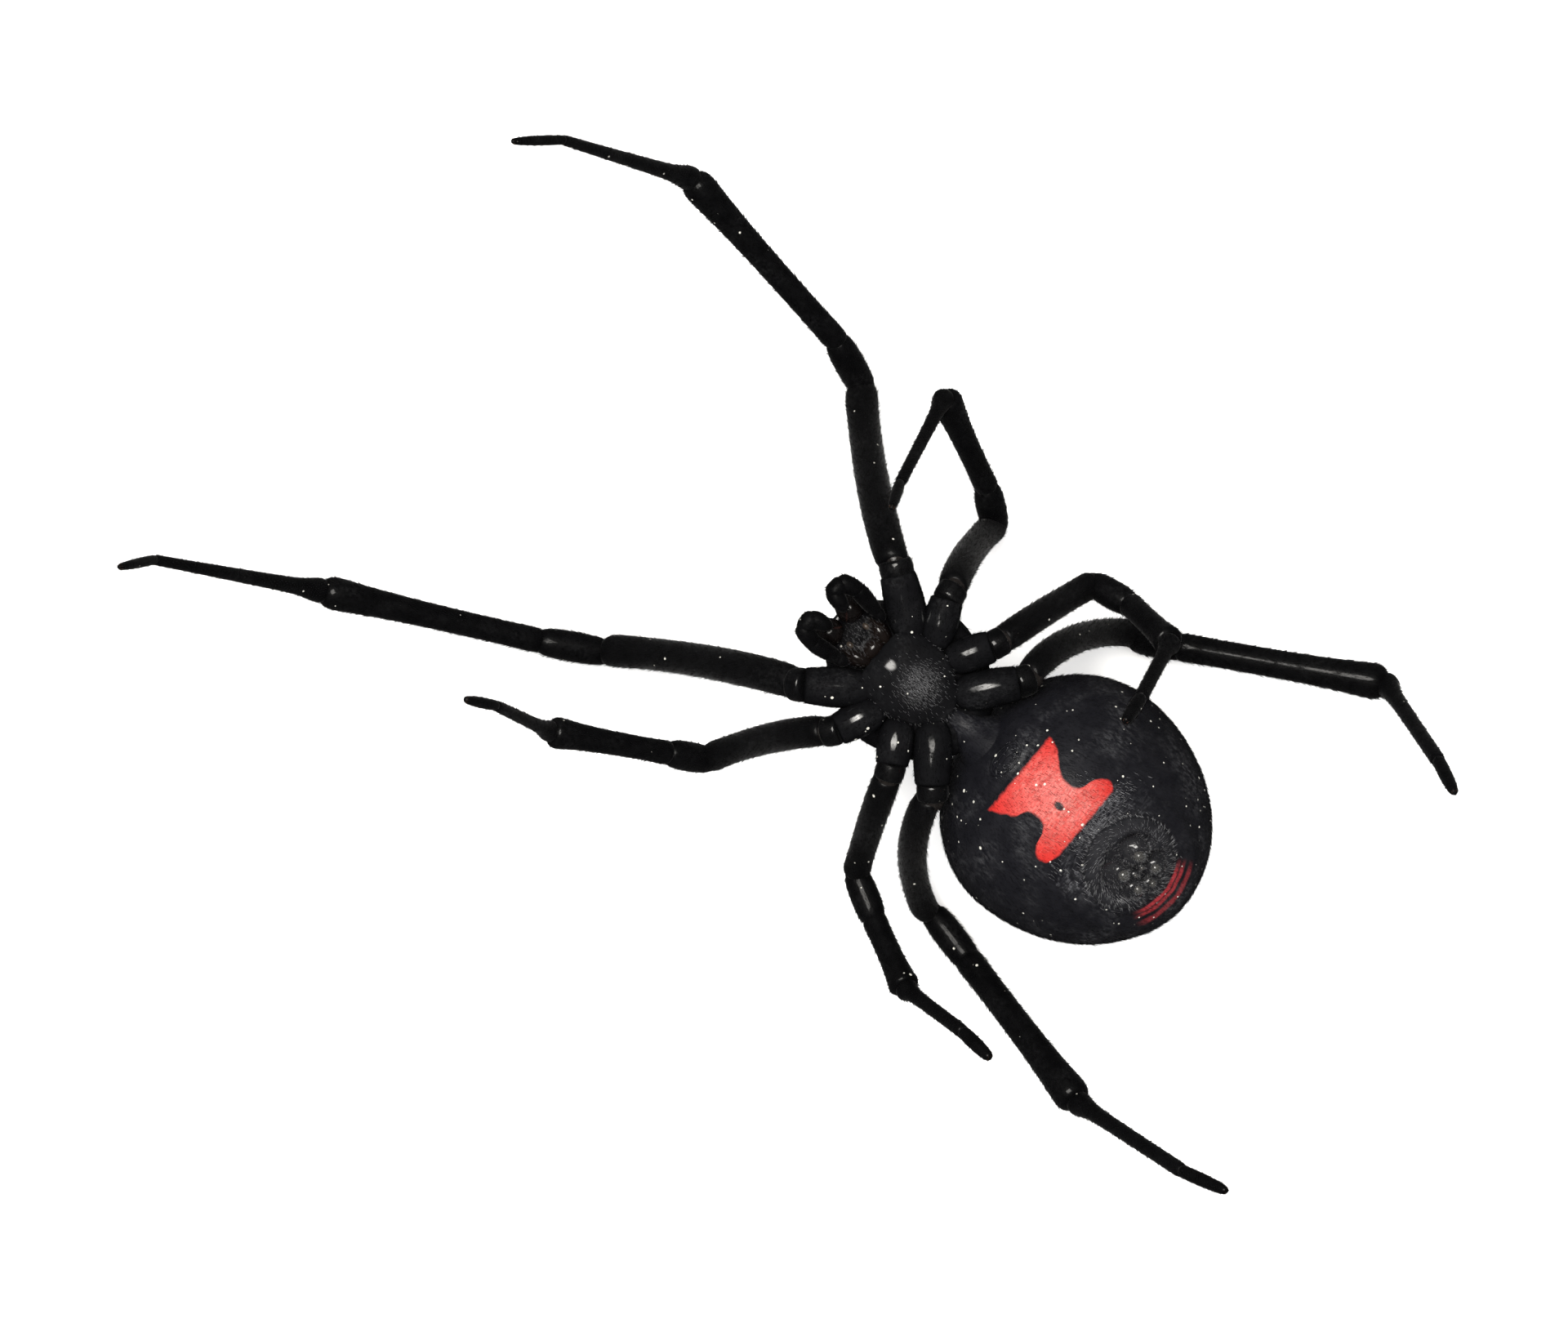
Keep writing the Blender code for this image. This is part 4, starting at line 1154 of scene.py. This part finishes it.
# %% Two feelers
FEELER_JOINTS = ((0.74, -1.70, 5.44), (0.82, -1.96, 5.64), (0.93, -2.68, 6.15), (0.82, -3.13, 6.31),
                 (0.44, -3.14, 6.34), (0.29, -2.54, 6.26))
FEELER_PROFILES = (
    ((-0.2, 0.1), (0.0, 0.18), (0.4, 0.205), (0.9, 0.20), (1.15, 0.14), (1.2, 0.05)),
    ((-0.14, 0.08), (-0.08, 0.17), (0.05, 0.21), (0.5, 0.24), (0.88, 0.255), (1.06, 0.225), (1.14, 0.1)),
    ((-0.24, 0.08), (-0.16, 0.19), (0.1, 0.245), (0.5, 0.265), (0.9, 0.26), (1.2, 0.22), (1.34, 0.1)),
    ((-0.24, 0.08), (-0.18, 0.18), (0.1, 0.25), (0.5, 0.27), (0.9, 0.27), (1.26, 0.22), (1.4, 0.1)),
    ((-0.22, 0.08), (-0.14, 0.19), (0.08, 0.245), (0.35, 0.25), (0.65, 0.215), (0.86, 0.15), (0.97, 0.07),
     (1.0, 0.02)),
)
feelers = {}
for side in (LEFT, RIGHT):
    points = [mirrored(point, side) for point in FEELER_JOINTS]
    pieces = []
    for number, profile in enumerate(FEELER_PROFILES):
        start, end = points[number], points[number + 1]
        master = turned("feeler_master", (end - start).length, profile)
        piece = copy_between(master, "feeler_part", start, end, Vector((0, 0.1, 1)))
        bpy.data.objects.remove(master)
        comb(piece, leg_finish, (end - start).normalized(), 1.6, 0.85)
        pieces.append(piece)
    feelers[side] = joined(f"palp_{SIDE_NAMES[side]}_skin", pieces)
    smooth_out(feelers[side])
print("feelers", {feeler.name: len(feeler.data.polygons) for feeler in feelers.values()})

# %% [markdown]
# ## Eyes
# Eight eyes sit on the front of the head in two rows of four, all about the same size. Each is a
# clear dome sunk to its middle in the shield. A ray cast from the front finds the surface.

# %% Eight eyes
EYES = ((0.17, 4.02, 0.11), (0.50, 3.98, 0.10), (0.19, 3.68, 0.10), (0.55, 3.72, 0.10))
eye_balls = []
for side in (LEFT, RIGHT):
    for out, height, radius in EYES:
        start = Vector((side * out, -10, height))
        place = thorax_skin.ray_cast(start, Vector((0, 1, 0)))[1]
        eye = ball("eye", place, (radius, radius, radius), 20, 14)
        eye_balls.append(eye)
eyes = joined("eyes", eye_balls)
eyes.data.materials.append(eye_finish)
only(eyes)
bpy.ops.object.shade_smooth()
print("eyes", len(eye_balls), "last at", tuple(round(x, 2) for x in place))

# %% [markdown]
# ## The abdomen
# The abdomen is a globe that is a little longer behind its middle and narrower at the tail. It
# starts as a sphere with its poles at head and tail. Each ring is resized to the girth there,
# the two halves are stretched to their lengths, and a cut at the floor gives the flat that it
# rests on.

# %% The globe
ABDOMEN_SEGMENTS = 176
ABDOMEN_RINGS = 120


def girth(along):
    """Gives the abdomen's girth, as a share of its greatest, at a place from head -1 to tail 1."""
    if along < 0:
        return max(1 - abs(along) ** FRONT_BLUNTNESS, 0) ** (1 / FRONT_BLUNTNESS)
    return sqrt(max(1 - along * along, 0)) * (1 - TAIL_NARROWING * along ** 3)


globe = ball("abdomen_skin", ABDOMEN_CENTRE, (ABDOMEN_HALF_WIDTH, 1, ABDOMEN_HALF_HEIGHT), ABDOMEN_SEGMENTS,
             ABDOMEN_RINGS)
bpy.ops.object.mode_set(mode="EDIT")
for number in range(1, ABDOMEN_RINGS):
    along = -cos(pi * number / ABDOMEN_RINGS)
    ratio = girth(along) / sqrt(1 - along * along)
    ring_y = ABDOMEN_CENTRE.y + along
    pick(globe, lambda co: abs(co.y - ring_y) < 1e-4)
    middle = (ABDOMEN_CENTRE.x, ring_y, ABDOMEN_CENTRE.z)
    bpy.ops.transform.resize(value=(ratio, 1, ratio), center_override=middle)
pick(globe, lambda co: co.y > ABDOMEN_CENTRE.y + 1e-4)
bpy.ops.transform.resize(value=(1, ABDOMEN_TAIL_LENGTH, 1), center_override=ABDOMEN_CENTRE)
pick(globe, lambda co: co.y < ABDOMEN_CENTRE.y - 1e-4)
bpy.ops.transform.resize(value=(1, ABDOMEN_FRONT_LENGTH, 1), center_override=ABDOMEN_CENTRE)
bpy.ops.mesh.select_all(action="SELECT")
bpy.ops.mesh.bisect(plane_co=(0, 0, 0), plane_no=(0, 0, -1), use_fill=True, clear_outer=True)
bpy.ops.object.mode_set(mode="OBJECT")
in_order(globe)
print("globe faces", len(globe.data.polygons))

# %% [markdown]
# The belly isn't a perfect globe. There is a cross furrow at the front edge of the hourglass,
# with the raised genital plate before it, two smooth swellings over the breathing organs, a
# raised fold between two shallow ones round the spinnerets, and small dents where muscles are
# fixed. They are moved into the mesh vertex by vertex, as with a sculpting brush.

# %% Relief of the belly
SPINNERET_X = 0.05
# The height, radius and width of each fold round the spinnerets
SPINNERET_FOLDS = ((-0.05, 1.42, 0.12), (0.05, 1.78, 0.14), (-0.03, 2.1, 0.10))
PLATE_RISE = 0.14
LUNG_RISE = 0.07
BELLY_FURROW_DEPTH = 0.055
BELLY_FURROW_LIP = 0.03
DENT_DEPTH = 0.035
DENTS = ((-0.95, 4.5), (0.95, 4.5), (-1.25, 5.9), (1.25, 5.9), (-0.8, 7.0), (0.85, 7.0))

normals = [vert.normal.copy() for vert in globe.data.vertices]
for vert, normal in zip(globe.data.vertices, normals):
    x, y, z = vert.co
    if z < ABDOMEN_CENTRE.z:
        continue
    rise = PLATE_RISE * hump(x, y, 0, 3.28, 0.62, 0.30)
    rise += LUNG_RISE * (hump(x, y, -1.25, 2.95, 0.7, 0.5) + hump(x, y, 1.25, 2.95, 0.7, 0.5))
    furrow_y = 3.66 - 0.06 * (x / 1.4) ** 2
    rise -= BELLY_FURROW_DEPTH * bell(y - furrow_y, 0.07) * hump(x, y, 0, furrow_y, 1.5, 1.0)
    rise += BELLY_FURROW_LIP * bell(y - furrow_y + 0.15, 0.06) * hump(x, y, 0, furrow_y, 1.2, 1.0)
    reach = sqrt((x - SPINNERET_X) ** 2 + (y - SPINNERET_Y) ** 2)
    for height, radius, width in SPINNERET_FOLDS:
        rise += height * bell(reach - radius, width)
    for dent_x, dent_y in DENTS:
        rise -= DENT_DEPTH * hump(x, y, dent_x, dent_y, 0.13, 0.13)
    vert.co += normal * rise

# %% [markdown]
# Across the genital plate run fine curved ridges, too thin for the globe's own mesh. They are
# thin rings, one inside another, stretched to ovals and half sunk. A ray cast down on the globe
# finds the skin under each vertex, so that every ring follows the plate.

# %% The furrowed genital plate
RIDGES = ((0.52, 0.27, 3.27, 0.05), (0.36, 0.17, 3.30, 0.04), (0.19, 0.08, 3.33, 0.035))
ridges = []
for half_x, half_y, centre_y, thick in RIDGES:
    bpy.ops.object.select_all(action="DESELECT")
    bpy.ops.mesh.primitive_torus_add(major_segments=48, minor_segments=8, major_radius=1,
                                     minor_radius=thick * 2, location=(0, centre_y, 0))
    ridge = bpy.context.active_object
    ridge.scale = (half_x, half_y, thick / (thick * 2))
    settle(ridge, "ridge")
    for vert in ridge.data.vertices:
        point = globe.ray_cast(Vector((vert.co.x, vert.co.y, 12)), Vector((0, 0, -1)))[1]
        vert.co.z = point.z + vert.co.z * 0.9
    ridges.append(ridge)
print("ridges", len(ridges))

# %% [markdown]
# The abdomen hangs on the front body by a short narrow stalk. It is turned like a leg segment,
# and it widens inside the globe, so that no gap shows between them from any side.

# %% The stalk
STALK_START = Vector((0, 0.95, 5.12))
STALK_END = Vector((0, 3.35, 4.72))
STALK_PROFILE = ((-0.02, 0.1), (0.0, 0.36), (0.2, 0.36), (0.32, 0.38), (0.42, 0.46), (0.52, 0.62),
                 (0.62, 0.80), (0.74, 0.96), (0.88, 1.06), (1.0, 1.06), (1.04, 0.5))
stalk_master = turned("stalk_master", (STALK_END - STALK_START).length, STALK_PROFILE, sides=32)
stalk = copy_between(stalk_master, "stalk", STALK_START, STALK_END, Vector((1, 0, 0)))
bpy.data.objects.remove(stalk_master)
smooth_out(stalk)
for piece in [globe, stalk] + ridges:
    comb(piece, body_finish, (0, 1, 0), 1.0, 1.0)
abdomen_skin = joined("abdomen_skin", [globe, stalk] + ridges)
only(abdomen_skin)
bpy.ops.object.shade_smooth()
print("abdomen faces", len(abdomen_skin.data.polygons))

# %% [markdown]
# The bristles of the abdomen are combed back towards the tail, round the globe. The lie of each
# is the tailward direction pressed onto the skin and turned a little to one side. None grow on
# the flat, and the back has more polish than the belly.

# %% Comb the abdomen
lie_layer = abdomen_skin.data.attributes["lie"]
cover_layer = abdomen_skin.data.attributes["cover"]
polish_layer = abdomen_skin.data.attributes["polish"]
for number, vert in enumerate(abdomen_skin.data.vertices):
    tailward = Vector((0, 1, 0)) - vert.normal * vert.normal.y
    round_tail = vert.normal.cross(Vector((0, 1, 0)))
    lie_layer.data[number].vector = (tailward + round_tail * 0.25).normalized()
    if vert.co.z < 0.25:
        cover_layer.data[number].value = 0.0
    back_share = min(max((ABDOMEN_CENTRE.z - vert.co.z) / 1.5, 0), 1)
    polish_layer.data[number].value = 0.04 + 0.4 * back_share

# %% [markdown]
# ## The spinnerets
# Six spinnerets stand close together on a low wrinkled mound, the front and hind pairs large
# and the middle pair small, with a tubercle behind them. Each is a short two-step cone, turned
# like a leg segment, with a small rough cap for the spigots on its tip.

# %% Spinneret seat
def belly_height(x, y):
    """Gives the height of the belly over a point."""
    back = y - ABDOMEN_CENTRE.y
    wide = girth(back / (ABDOMEN_TAIL_LENGTH if back > 0 else ABDOMEN_FRONT_LENGTH))
    across = (x - ABDOMEN_CENTRE.x) / ABDOMEN_HALF_WIDTH
    return ABDOMEN_CENTRE.z + ABDOMEN_HALF_HEIGHT * sqrt(max(wide * wide - across * across, 0))


step = 0.05
slope_x = (belly_height(step, SPINNERET_Y) - belly_height(-step, SPINNERET_Y)) / (2 * step)
slope_y = (belly_height(0, SPINNERET_Y + step) - belly_height(0, SPINNERET_Y - step)) / (2 * step)
facing = Vector((-slope_x, -slope_y, 1)).normalized()
tailward = -Vector((1, 0, 0)).cross(facing)
seat = Vector((0, SPINNERET_Y, belly_height(0, SPINNERET_Y))) - facing * 0.06
print("spinneret seat, mm:", tuple(round(x, 2) for x in seat))

# %% The mound and its cones
MOUND_PROFILE = ((-0.9, 1.1), (-0.3, 1.34), (0.1, 1.30), (0.4, 1.20), (0.62, 1.10), (0.72, 1.02),
                 (0.66, 0.94), (0.5, 0.84), (0.6, 0.7), (0.7, 0.5), (0.75, 0.3), (0.77, 0.1))
SPINNERET_CONES = (
    (0.40, -0.42, 0.40, 0.54),
    (0.15, 0.04, 0.17, 0.36),
    (0.44, 0.34, 0.34, 0.48),
    (0.00, 0.70, 0.26, 0.30),
)
CONE_PROFILE = ((0.0, 0.95), (0.2, 1.06), (0.45, 1.03), (0.66, 0.9), (0.72, 0.8), (0.85, 0.72), (0.95, 0.52),
                (1.0, 0.2))
CONE_UNEVENNESS = 0.12
mound_master = turned("mound_master", 0.34, MOUND_PROFILE, sides=48)
mound = copy_between(mound_master, "mound", seat, seat + facing * 0.34, Vector((1, 0, 0)))
bpy.data.objects.remove(mound_master)
comb(mound, mound_finish, tailward, 0.8, 1.0)
for number, vert in enumerate(mound.data.vertices):
    out = vert.co - seat
    round_ring = facing.cross(out)
    mound.data.attributes["lie"].data[number].vector = (round_ring + out * 0.8).normalized()
    angle = Vector((out.x, out.dot(tailward))).angle_signed(Vector((0, 1)), 0)
    reach = Vector((out.x, out.dot(tailward))).length
    ring_share = bell(reach - 0.97, 0.10) * (0.6 + 0.4 * sin(4 * angle + 0.6))
    mound.data.attributes["cover"].data[number].value = 0.5 + 3.0 * ring_share
    vert.co += facing * (0.05 * cos(9 * angle) + 0.04 * sin(5 * angle + 1)) * min(reach, 1)
cones = [mound]
for out, back, radius, height in SPINNERET_CONES:
    profile = [(share, width * radius) for share, width in CONE_PROFILE]
    master = turned("cone_master", height, profile, sides=20)
    for side in (LEFT, RIGHT) if out else (RIGHT,):
        foot = seat + Vector((side * out, 0, 0)) + tailward * back + facing * 0.22
        lean = (facing - Vector((side * out, 0, 0)) * 0.35 - tailward * back * 0.25).normalized()
        cone = copy_between(master, "cone", foot, foot + lean * height, Vector((0, 0.2, 1)))
        for vert in cone.data.vertices:
            crumple = sin(9 * vert.co.x + 3 * side) * cos(8 * vert.co.y) + sin(11 * vert.co.z + side)
            vert.co += (vert.co - foot) * CONE_UNEVENNESS * 0.5 * crumple
        comb(cone, spinneret_finish, lean, 1.0, 0.7, 0.5)
        cap = ball("spigots", foot + lean * height * 0.93, (radius * 0.40,) * 3, 14, 8)
        comb(cap, spigot_finish, lean, 3.0, 0.5, 0.5)
        cones += [cone, cap]
    bpy.data.objects.remove(master)
spinneret_skin = joined("spinneret_cluster", cones)
smooth_out(spinneret_skin)
print("spinneret cluster faces", len(spinneret_skin.data.polygons))

# %% [markdown]
# ## Bristles
# Every part of the spider carries short stiff bristles that lean towards the tip of the limb or
# the tail. One bristle is a thin three-sided cone with a slight bend. Geometry Nodes scatter
# copies over a copy of each skin, lay them along the direction combed in above, and realize
# them as mesh. Each bristle's UV patch sits at its root's place on an unwrap of its skin.

# %% One bristle
bpy.ops.object.select_all(action="DESELECT")
bpy.ops.mesh.primitive_cone_add(vertices=3, radius1=1, radius2=0, depth=1, location=(0, 0, 0.5),
                                end_fill_type="NGON")
bristle = settle(bpy.context.active_object, "bristle_master")
bpy.ops.object.mode_set(mode="EDIT")
pick(bristle, lambda middle: abs(middle.z - 0.5) < 0.05, "EDGE")
bpy.ops.mesh.subdivide(number_cuts=1)
BRISTLE_BEND = 2.2
pick(bristle, lambda co: co.z > 0.9)
bpy.ops.transform.translate(value=(-BRISTLE_BEND, 0, 0))
pick(bristle, lambda co: 0.1 < co.z < 0.9)
bpy.ops.transform.translate(value=(-BRISTLE_BEND * 0.2, 0, 0))
bpy.ops.transform.resize(value=(1.35, 1.35, 1), center_override=(-BRISTLE_BEND * 0.2, 0, 0.5))
bpy.ops.object.mode_set(mode="OBJECT")
bpy.ops.object.shade_smooth()
print("bristle faces", len(bristle.data.polygons))

# %% Scatter bristles with Geometry Nodes
UV_PATCH = 0.003
JITTER = 0.22
SHORTEST, LONGEST = 0.55, 1.25


def coat_nodes(name, per_mm2, length, thickness, lift, seed, surface):
    """Builds the node tree that turns a skin into its coat of bristles."""
    lift = radians(lift)
    tree = bpy.data.node_groups.new(name, "GeometryNodeTree")
    for way in ("INPUT", "OUTPUT"):
        tree.interface.new_socket("Geometry", in_out=way, socket_type="NodeSocketGeometry")
    start = tree.nodes.new("NodeGroupInput")
    end = tree.nodes.new("NodeGroupOutput")
    nodes = Nodes(tree)

    def noted(attribute, kind="FLOAT"):
        made = nodes.add("GeometryNodeInputNamedAttribute", {"Name": attribute}, data_type=kind)
        return made.outputs["Attribute"]

    def store(geometry, attribute, value, kind, domain):
        made = nodes.add("GeometryNodeStoreNamedAttribute", {"Geometry": geometry, "Name": attribute},
                         data_type=kind, domain=domain)
        nodes.fill(made.inputs["Value"], value)
        return made.outputs[0]

    density = nodes.times(noted("cover"), per_mm2)
    scatter = nodes.add("GeometryNodeDistributePointsOnFaces",
                        {"Mesh": start.outputs[0], "Density": density, "Seed": seed},
                        distribute_method="RANDOM").outputs
    points = store(scatter["Points"], "root_uv", noted("SkinUV", "FLOAT_VECTOR"), "FLOAT_VECTOR", "POINT")
    jitter = nodes.add("FunctionNodeRandomValue", {0: grey(-JITTER), 1: grey(JITTER), "Seed": seed + 1},
                       data_type="FLOAT_VECTOR").outputs[0]
    lying = nodes.vector("SCALE", noted("lie", "FLOAT_VECTOR"), scale=cos(lift))
    standing = nodes.vector("SCALE", scatter["Normal"], scale=sin(lift))
    way = nodes.vector("ADD", nodes.vector("ADD", lying, standing), jitter)
    aimed = nodes.add("FunctionNodeAlignRotationToVector", {"Vector": way}, axis="Z").outputs[0]
    rolled = nodes.add("FunctionNodeAlignRotationToVector", {"Rotation": aimed, "Vector": scatter["Normal"]},
                       axis="X", pivot_axis="Z").outputs[0]
    varied = nodes.add("FunctionNodeRandomValue", {2: SHORTEST, 3: LONGEST, "Seed": seed + 2},
                       data_type="FLOAT").outputs[1]
    long = nodes.times(varied, noted("reach"), length)
    sizes = nodes.add("ShaderNodeCombineXYZ", {"X": thickness, "Y": thickness, "Z": long}).outputs[0]
    shape = nodes.add("GeometryNodeObjectInfo", {"Object": bristle}).outputs["Geometry"]
    copies = nodes.add("GeometryNodeInstanceOnPoints",
                       {"Points": points, "Instance": shape, "Rotation": rolled, "Scale": sizes}).outputs[0]
    solid = nodes.add("GeometryNodeRealizeInstances", {"Geometry": copies}).outputs[0]
    small = nodes.vector("SCALE", noted("UVMap", "FLOAT_VECTOR"), scale=UV_PATCH)
    bake_place = nodes.vector("ADD", noted("root_uv", "FLOAT_VECTOR"), small)
    mapped = store(solid, "OFBake", bake_place, "FLOAT2", "CORNER")
    painted = nodes.add("GeometryNodeSetMaterial", {"Geometry": mapped, "Material": surface}).outputs[0]
    nodes.fill(end.inputs[0], painted)
    return tree


def grow_coat(skin, name, sizes, seed, surface):
    """Unwraps a skin and grows its bristles as a piece of their own."""
    only(skin)
    if "SkinUV" not in skin.data.uv_layers:
        bpy.ops.object.mode_set(mode="EDIT")
        bpy.ops.mesh.select_all(action="SELECT")
        bpy.ops.uv.smart_project(angle_limit=radians(66), island_margin=0.002)
        bpy.ops.object.mode_set(mode="OBJECT")
        skin.data.uv_layers.active.name = "SkinUV"
    coat = copied(skin)
    coat.name = name
    grow = coat.modifiers.new("grow", "NODES")
    grow.node_group = coat_nodes(name + "_nodes", *sizes, seed, surface)
    bpy.ops.object.modifier_apply(modifier=grow.name)
    for spare in ("lie", "cover", "reach", "polish", "velvet", "root_uv", "SkinUV", "UVMap"):
        layer = coat.data.attributes.get(spare)
        if layer:
            coat.data.attributes.remove(layer)
    only(coat)
    bpy.ops.object.shade_smooth()
    return coat


# Bristles on a square millimetre, their length and thickness, and how far they lift in degrees
LEG_COAT = (150, 0.135, 0.006, 30)
ABDOMEN_COAT = (105, 0.13, 0.005, 22)
THORAX_COAT = (70, 0.11, 0.005, 28)
FEELER_COAT = (130, 0.13, 0.006, 35)
JAW_COAT = (70, 0.14, 0.0055, 35)
SPINNERET_COAT = (130, 0.14, 0.0042, 45)
BREASTPLATE_DOWN = (1100, 0.13, 0.0019, 25)
ABDOMEN_DOWN = (450, 0.14, 0.0028, 25)

leg_coats, feeler_coats, jaw_coats = {}, {}, {}
for number, ((pair, side), skin) in enumerate(leg_skins.items()):
    coat_name = f"leg_{pair}_{SIDE_NAMES[side]}_bristles"
    leg_coats[pair, side] = grow_coat(skin, coat_name, LEG_COAT, 10 * number, bristle_finish)
abdomen_coat = grow_coat(abdomen_skin, "abdomen_bristles", ABDOMEN_COAT, 200, belly_bristle_finish)
thorax_coat = grow_coat(thorax_skin, "cephalothorax_bristles", THORAX_COAT, 300, bristle_finish)
for side, skin in feelers.items():
    coat_name = f"palp_{SIDE_NAMES[side]}_bristles"
    feeler_coats[side] = grow_coat(skin, coat_name, FEELER_COAT, 400 + side, bristle_finish)
for side, skin in jaws.items():
    coat_name = f"chelicera_{SIDE_NAMES[side]}_bristles"
    jaw_coats[side] = grow_coat(skin, coat_name, JAW_COAT, 500 + side, bristle_finish)
spinneret_coat = grow_coat(spinneret_skin, "spinneret_bristles", SPINNERET_COAT, 600, pale_bristle_finish)

# %% [markdown]
# Here and there the down is pale: a patch in the middle of the breastplate, a band behind the
# hourglass, and the folds round the spinnerets. These hairs are finer, and they are a coat of
# their own, grown from the same skins with a different cover.

# %% Patches of pale down


def thin_cover(skin, share):
    """Gives every vertex of a skin the cover that a function of its place says."""
    cover = skin.data.attributes["cover"]
    for vert in skin.data.vertices:
        cover.data[vert.index].value = share(vert)


def breastplate_share(vert):
    """Gives the pale down on the breastplate: a patch in the middle, a thin rim and a fringe at the mouth."""
    x, y, z = vert.co
    if -2.7 < y < -1.3 and z > 5.0:
        return 0.45 * hump(x, y, 0, -1.95, 0.55, 0.40)
    if z < STERNUM_EDGE_Z - 0.01 or abs(x) > 1.2 or y < -1.25 or y > 1.42:
        return 0.0
    rim = 0.12 if z < STERNUM_EDGE_Z + 0.06 else 0.0
    return hump(x, y, -0.04, 0.23, 0.44, 0.44) + rim + 0.008


def belly_share(vert):
    """Gives the pale down on the belly: behind and on the mark, on the folds and on the genital plate."""
    x, y, z = vert.co
    if z < ABDOMEN_CENTRE.z + 1:
        return 0.0
    reach = sqrt((x - SPINNERET_X) ** 2 + (y - SPINNERET_Y) ** 2)
    edge = hump(x, y, -0.1, 6.12, 1.6, 0.11) * 1.2
    headward = hump(x, y, 0.1, 6.3, 1.8, 1.1)
    band = hump(x, y, -0.5, 6.40, 1.6, 0.30) * 0.5
    fold = bell(reach - 1.80, 0.14) * 0.6 * headward
    fringe = bell(reach - 1.32, 0.12) * (0.2 + 0.8 * headward)
    # Pale down in the middle of the mark, where the mark's colour also carries painted sheen
    pink_sheen_and_down = hump(x, y, 0.0, 5.5, 1.2, 0.6) * 0.7
    front = hump(x, y, 0, 3.3, 0.7, 0.35) * 0.4
    clumps = 0.7 + 0.3 * sin(4.3 * x + 1) * cos(5.1 * y)
    return max(max(edge, band, fold, fringe, pink_sheen_and_down, front) * clumps - 0.1, 0)


thin_cover(thorax_skin, breastplate_share)
breastplate_down = grow_coat(thorax_skin, "breastplate_down", BREASTPLATE_DOWN, 700, pale_bristle_finish)
thin_cover(abdomen_skin, belly_share)
abdomen_down = grow_coat(abdomen_skin, "abdomen_down", ABDOMEN_DOWN, 800, belly_down_finish)
bpy.data.objects.remove(bristle)

# %% [markdown]
# ## Bringing it all together
# Each piece is scaled from millimetres to metres about the scene's origin, so that its object
# sits untouched at the origin. It rides on the one body, and each skin stands for the solids that it
# covers.

# %% Finish every piece


def hand_over(piece, slot, *nodes):
    piece.matrix_world = Matrix.Diagonal((MM, MM, MM, 1)) @ Matrix.Translation(ORIGIN)
    settle(piece)
    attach(piece, "root")
    if nodes:
        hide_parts(*nodes)


LEG_NODES = ("coxa_femur", "patella_tibia", "metatarsus_tarsus")
for (pair, side), skin in leg_skins.items():
    leg = f"leg_{pair}_{SIDE_NAMES[side]}"
    hand_over(skin, "leg_cuticle", *[f"{leg}_{part}" for part in LEG_NODES])
    hand_over(leg_coats[pair, side], "leg_cuticle")
    hand_over(claw_sets[pair, side], "leg_cuticle")
hand_over(thorax_skin, "body_cuticle", "cephalothorax")
hand_over(thorax_coat, "body_cuticle")
hand_over(breastplate_down, "body_cuticle")
hand_over(eyes, "eye")
hand_over(abdomen_skin, "body_cuticle", "abdomen")
hand_over(abdomen_coat, "body_cuticle")
hand_over(abdomen_down, "body_cuticle")
hand_over(spinneret_skin, "spinneret_skin", "spinnerets")
hand_over(spinneret_coat, "spinneret_skin")
for side in (LEFT, RIGHT):
    hand_over(jaws[side], "jaw_cuticle", "chelicera_" + SIDE_NAMES[side])
    hand_over(fangs[side], "jaw_cuticle")
    hand_over(jaw_coats[side], "jaw_cuticle")
    hand_over(feelers[side], "leg_cuticle", "palp_" + SIDE_NAMES[side])
    hand_over(feeler_coats[side], "leg_cuticle")

# %% Sizes
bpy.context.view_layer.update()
total = 0
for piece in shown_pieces():
    piece.data.calc_loop_triangles()
    total += len(piece.data.loop_triangles)
    print(piece.name, len(piece.data.loop_triangles))
print("triangles", total)
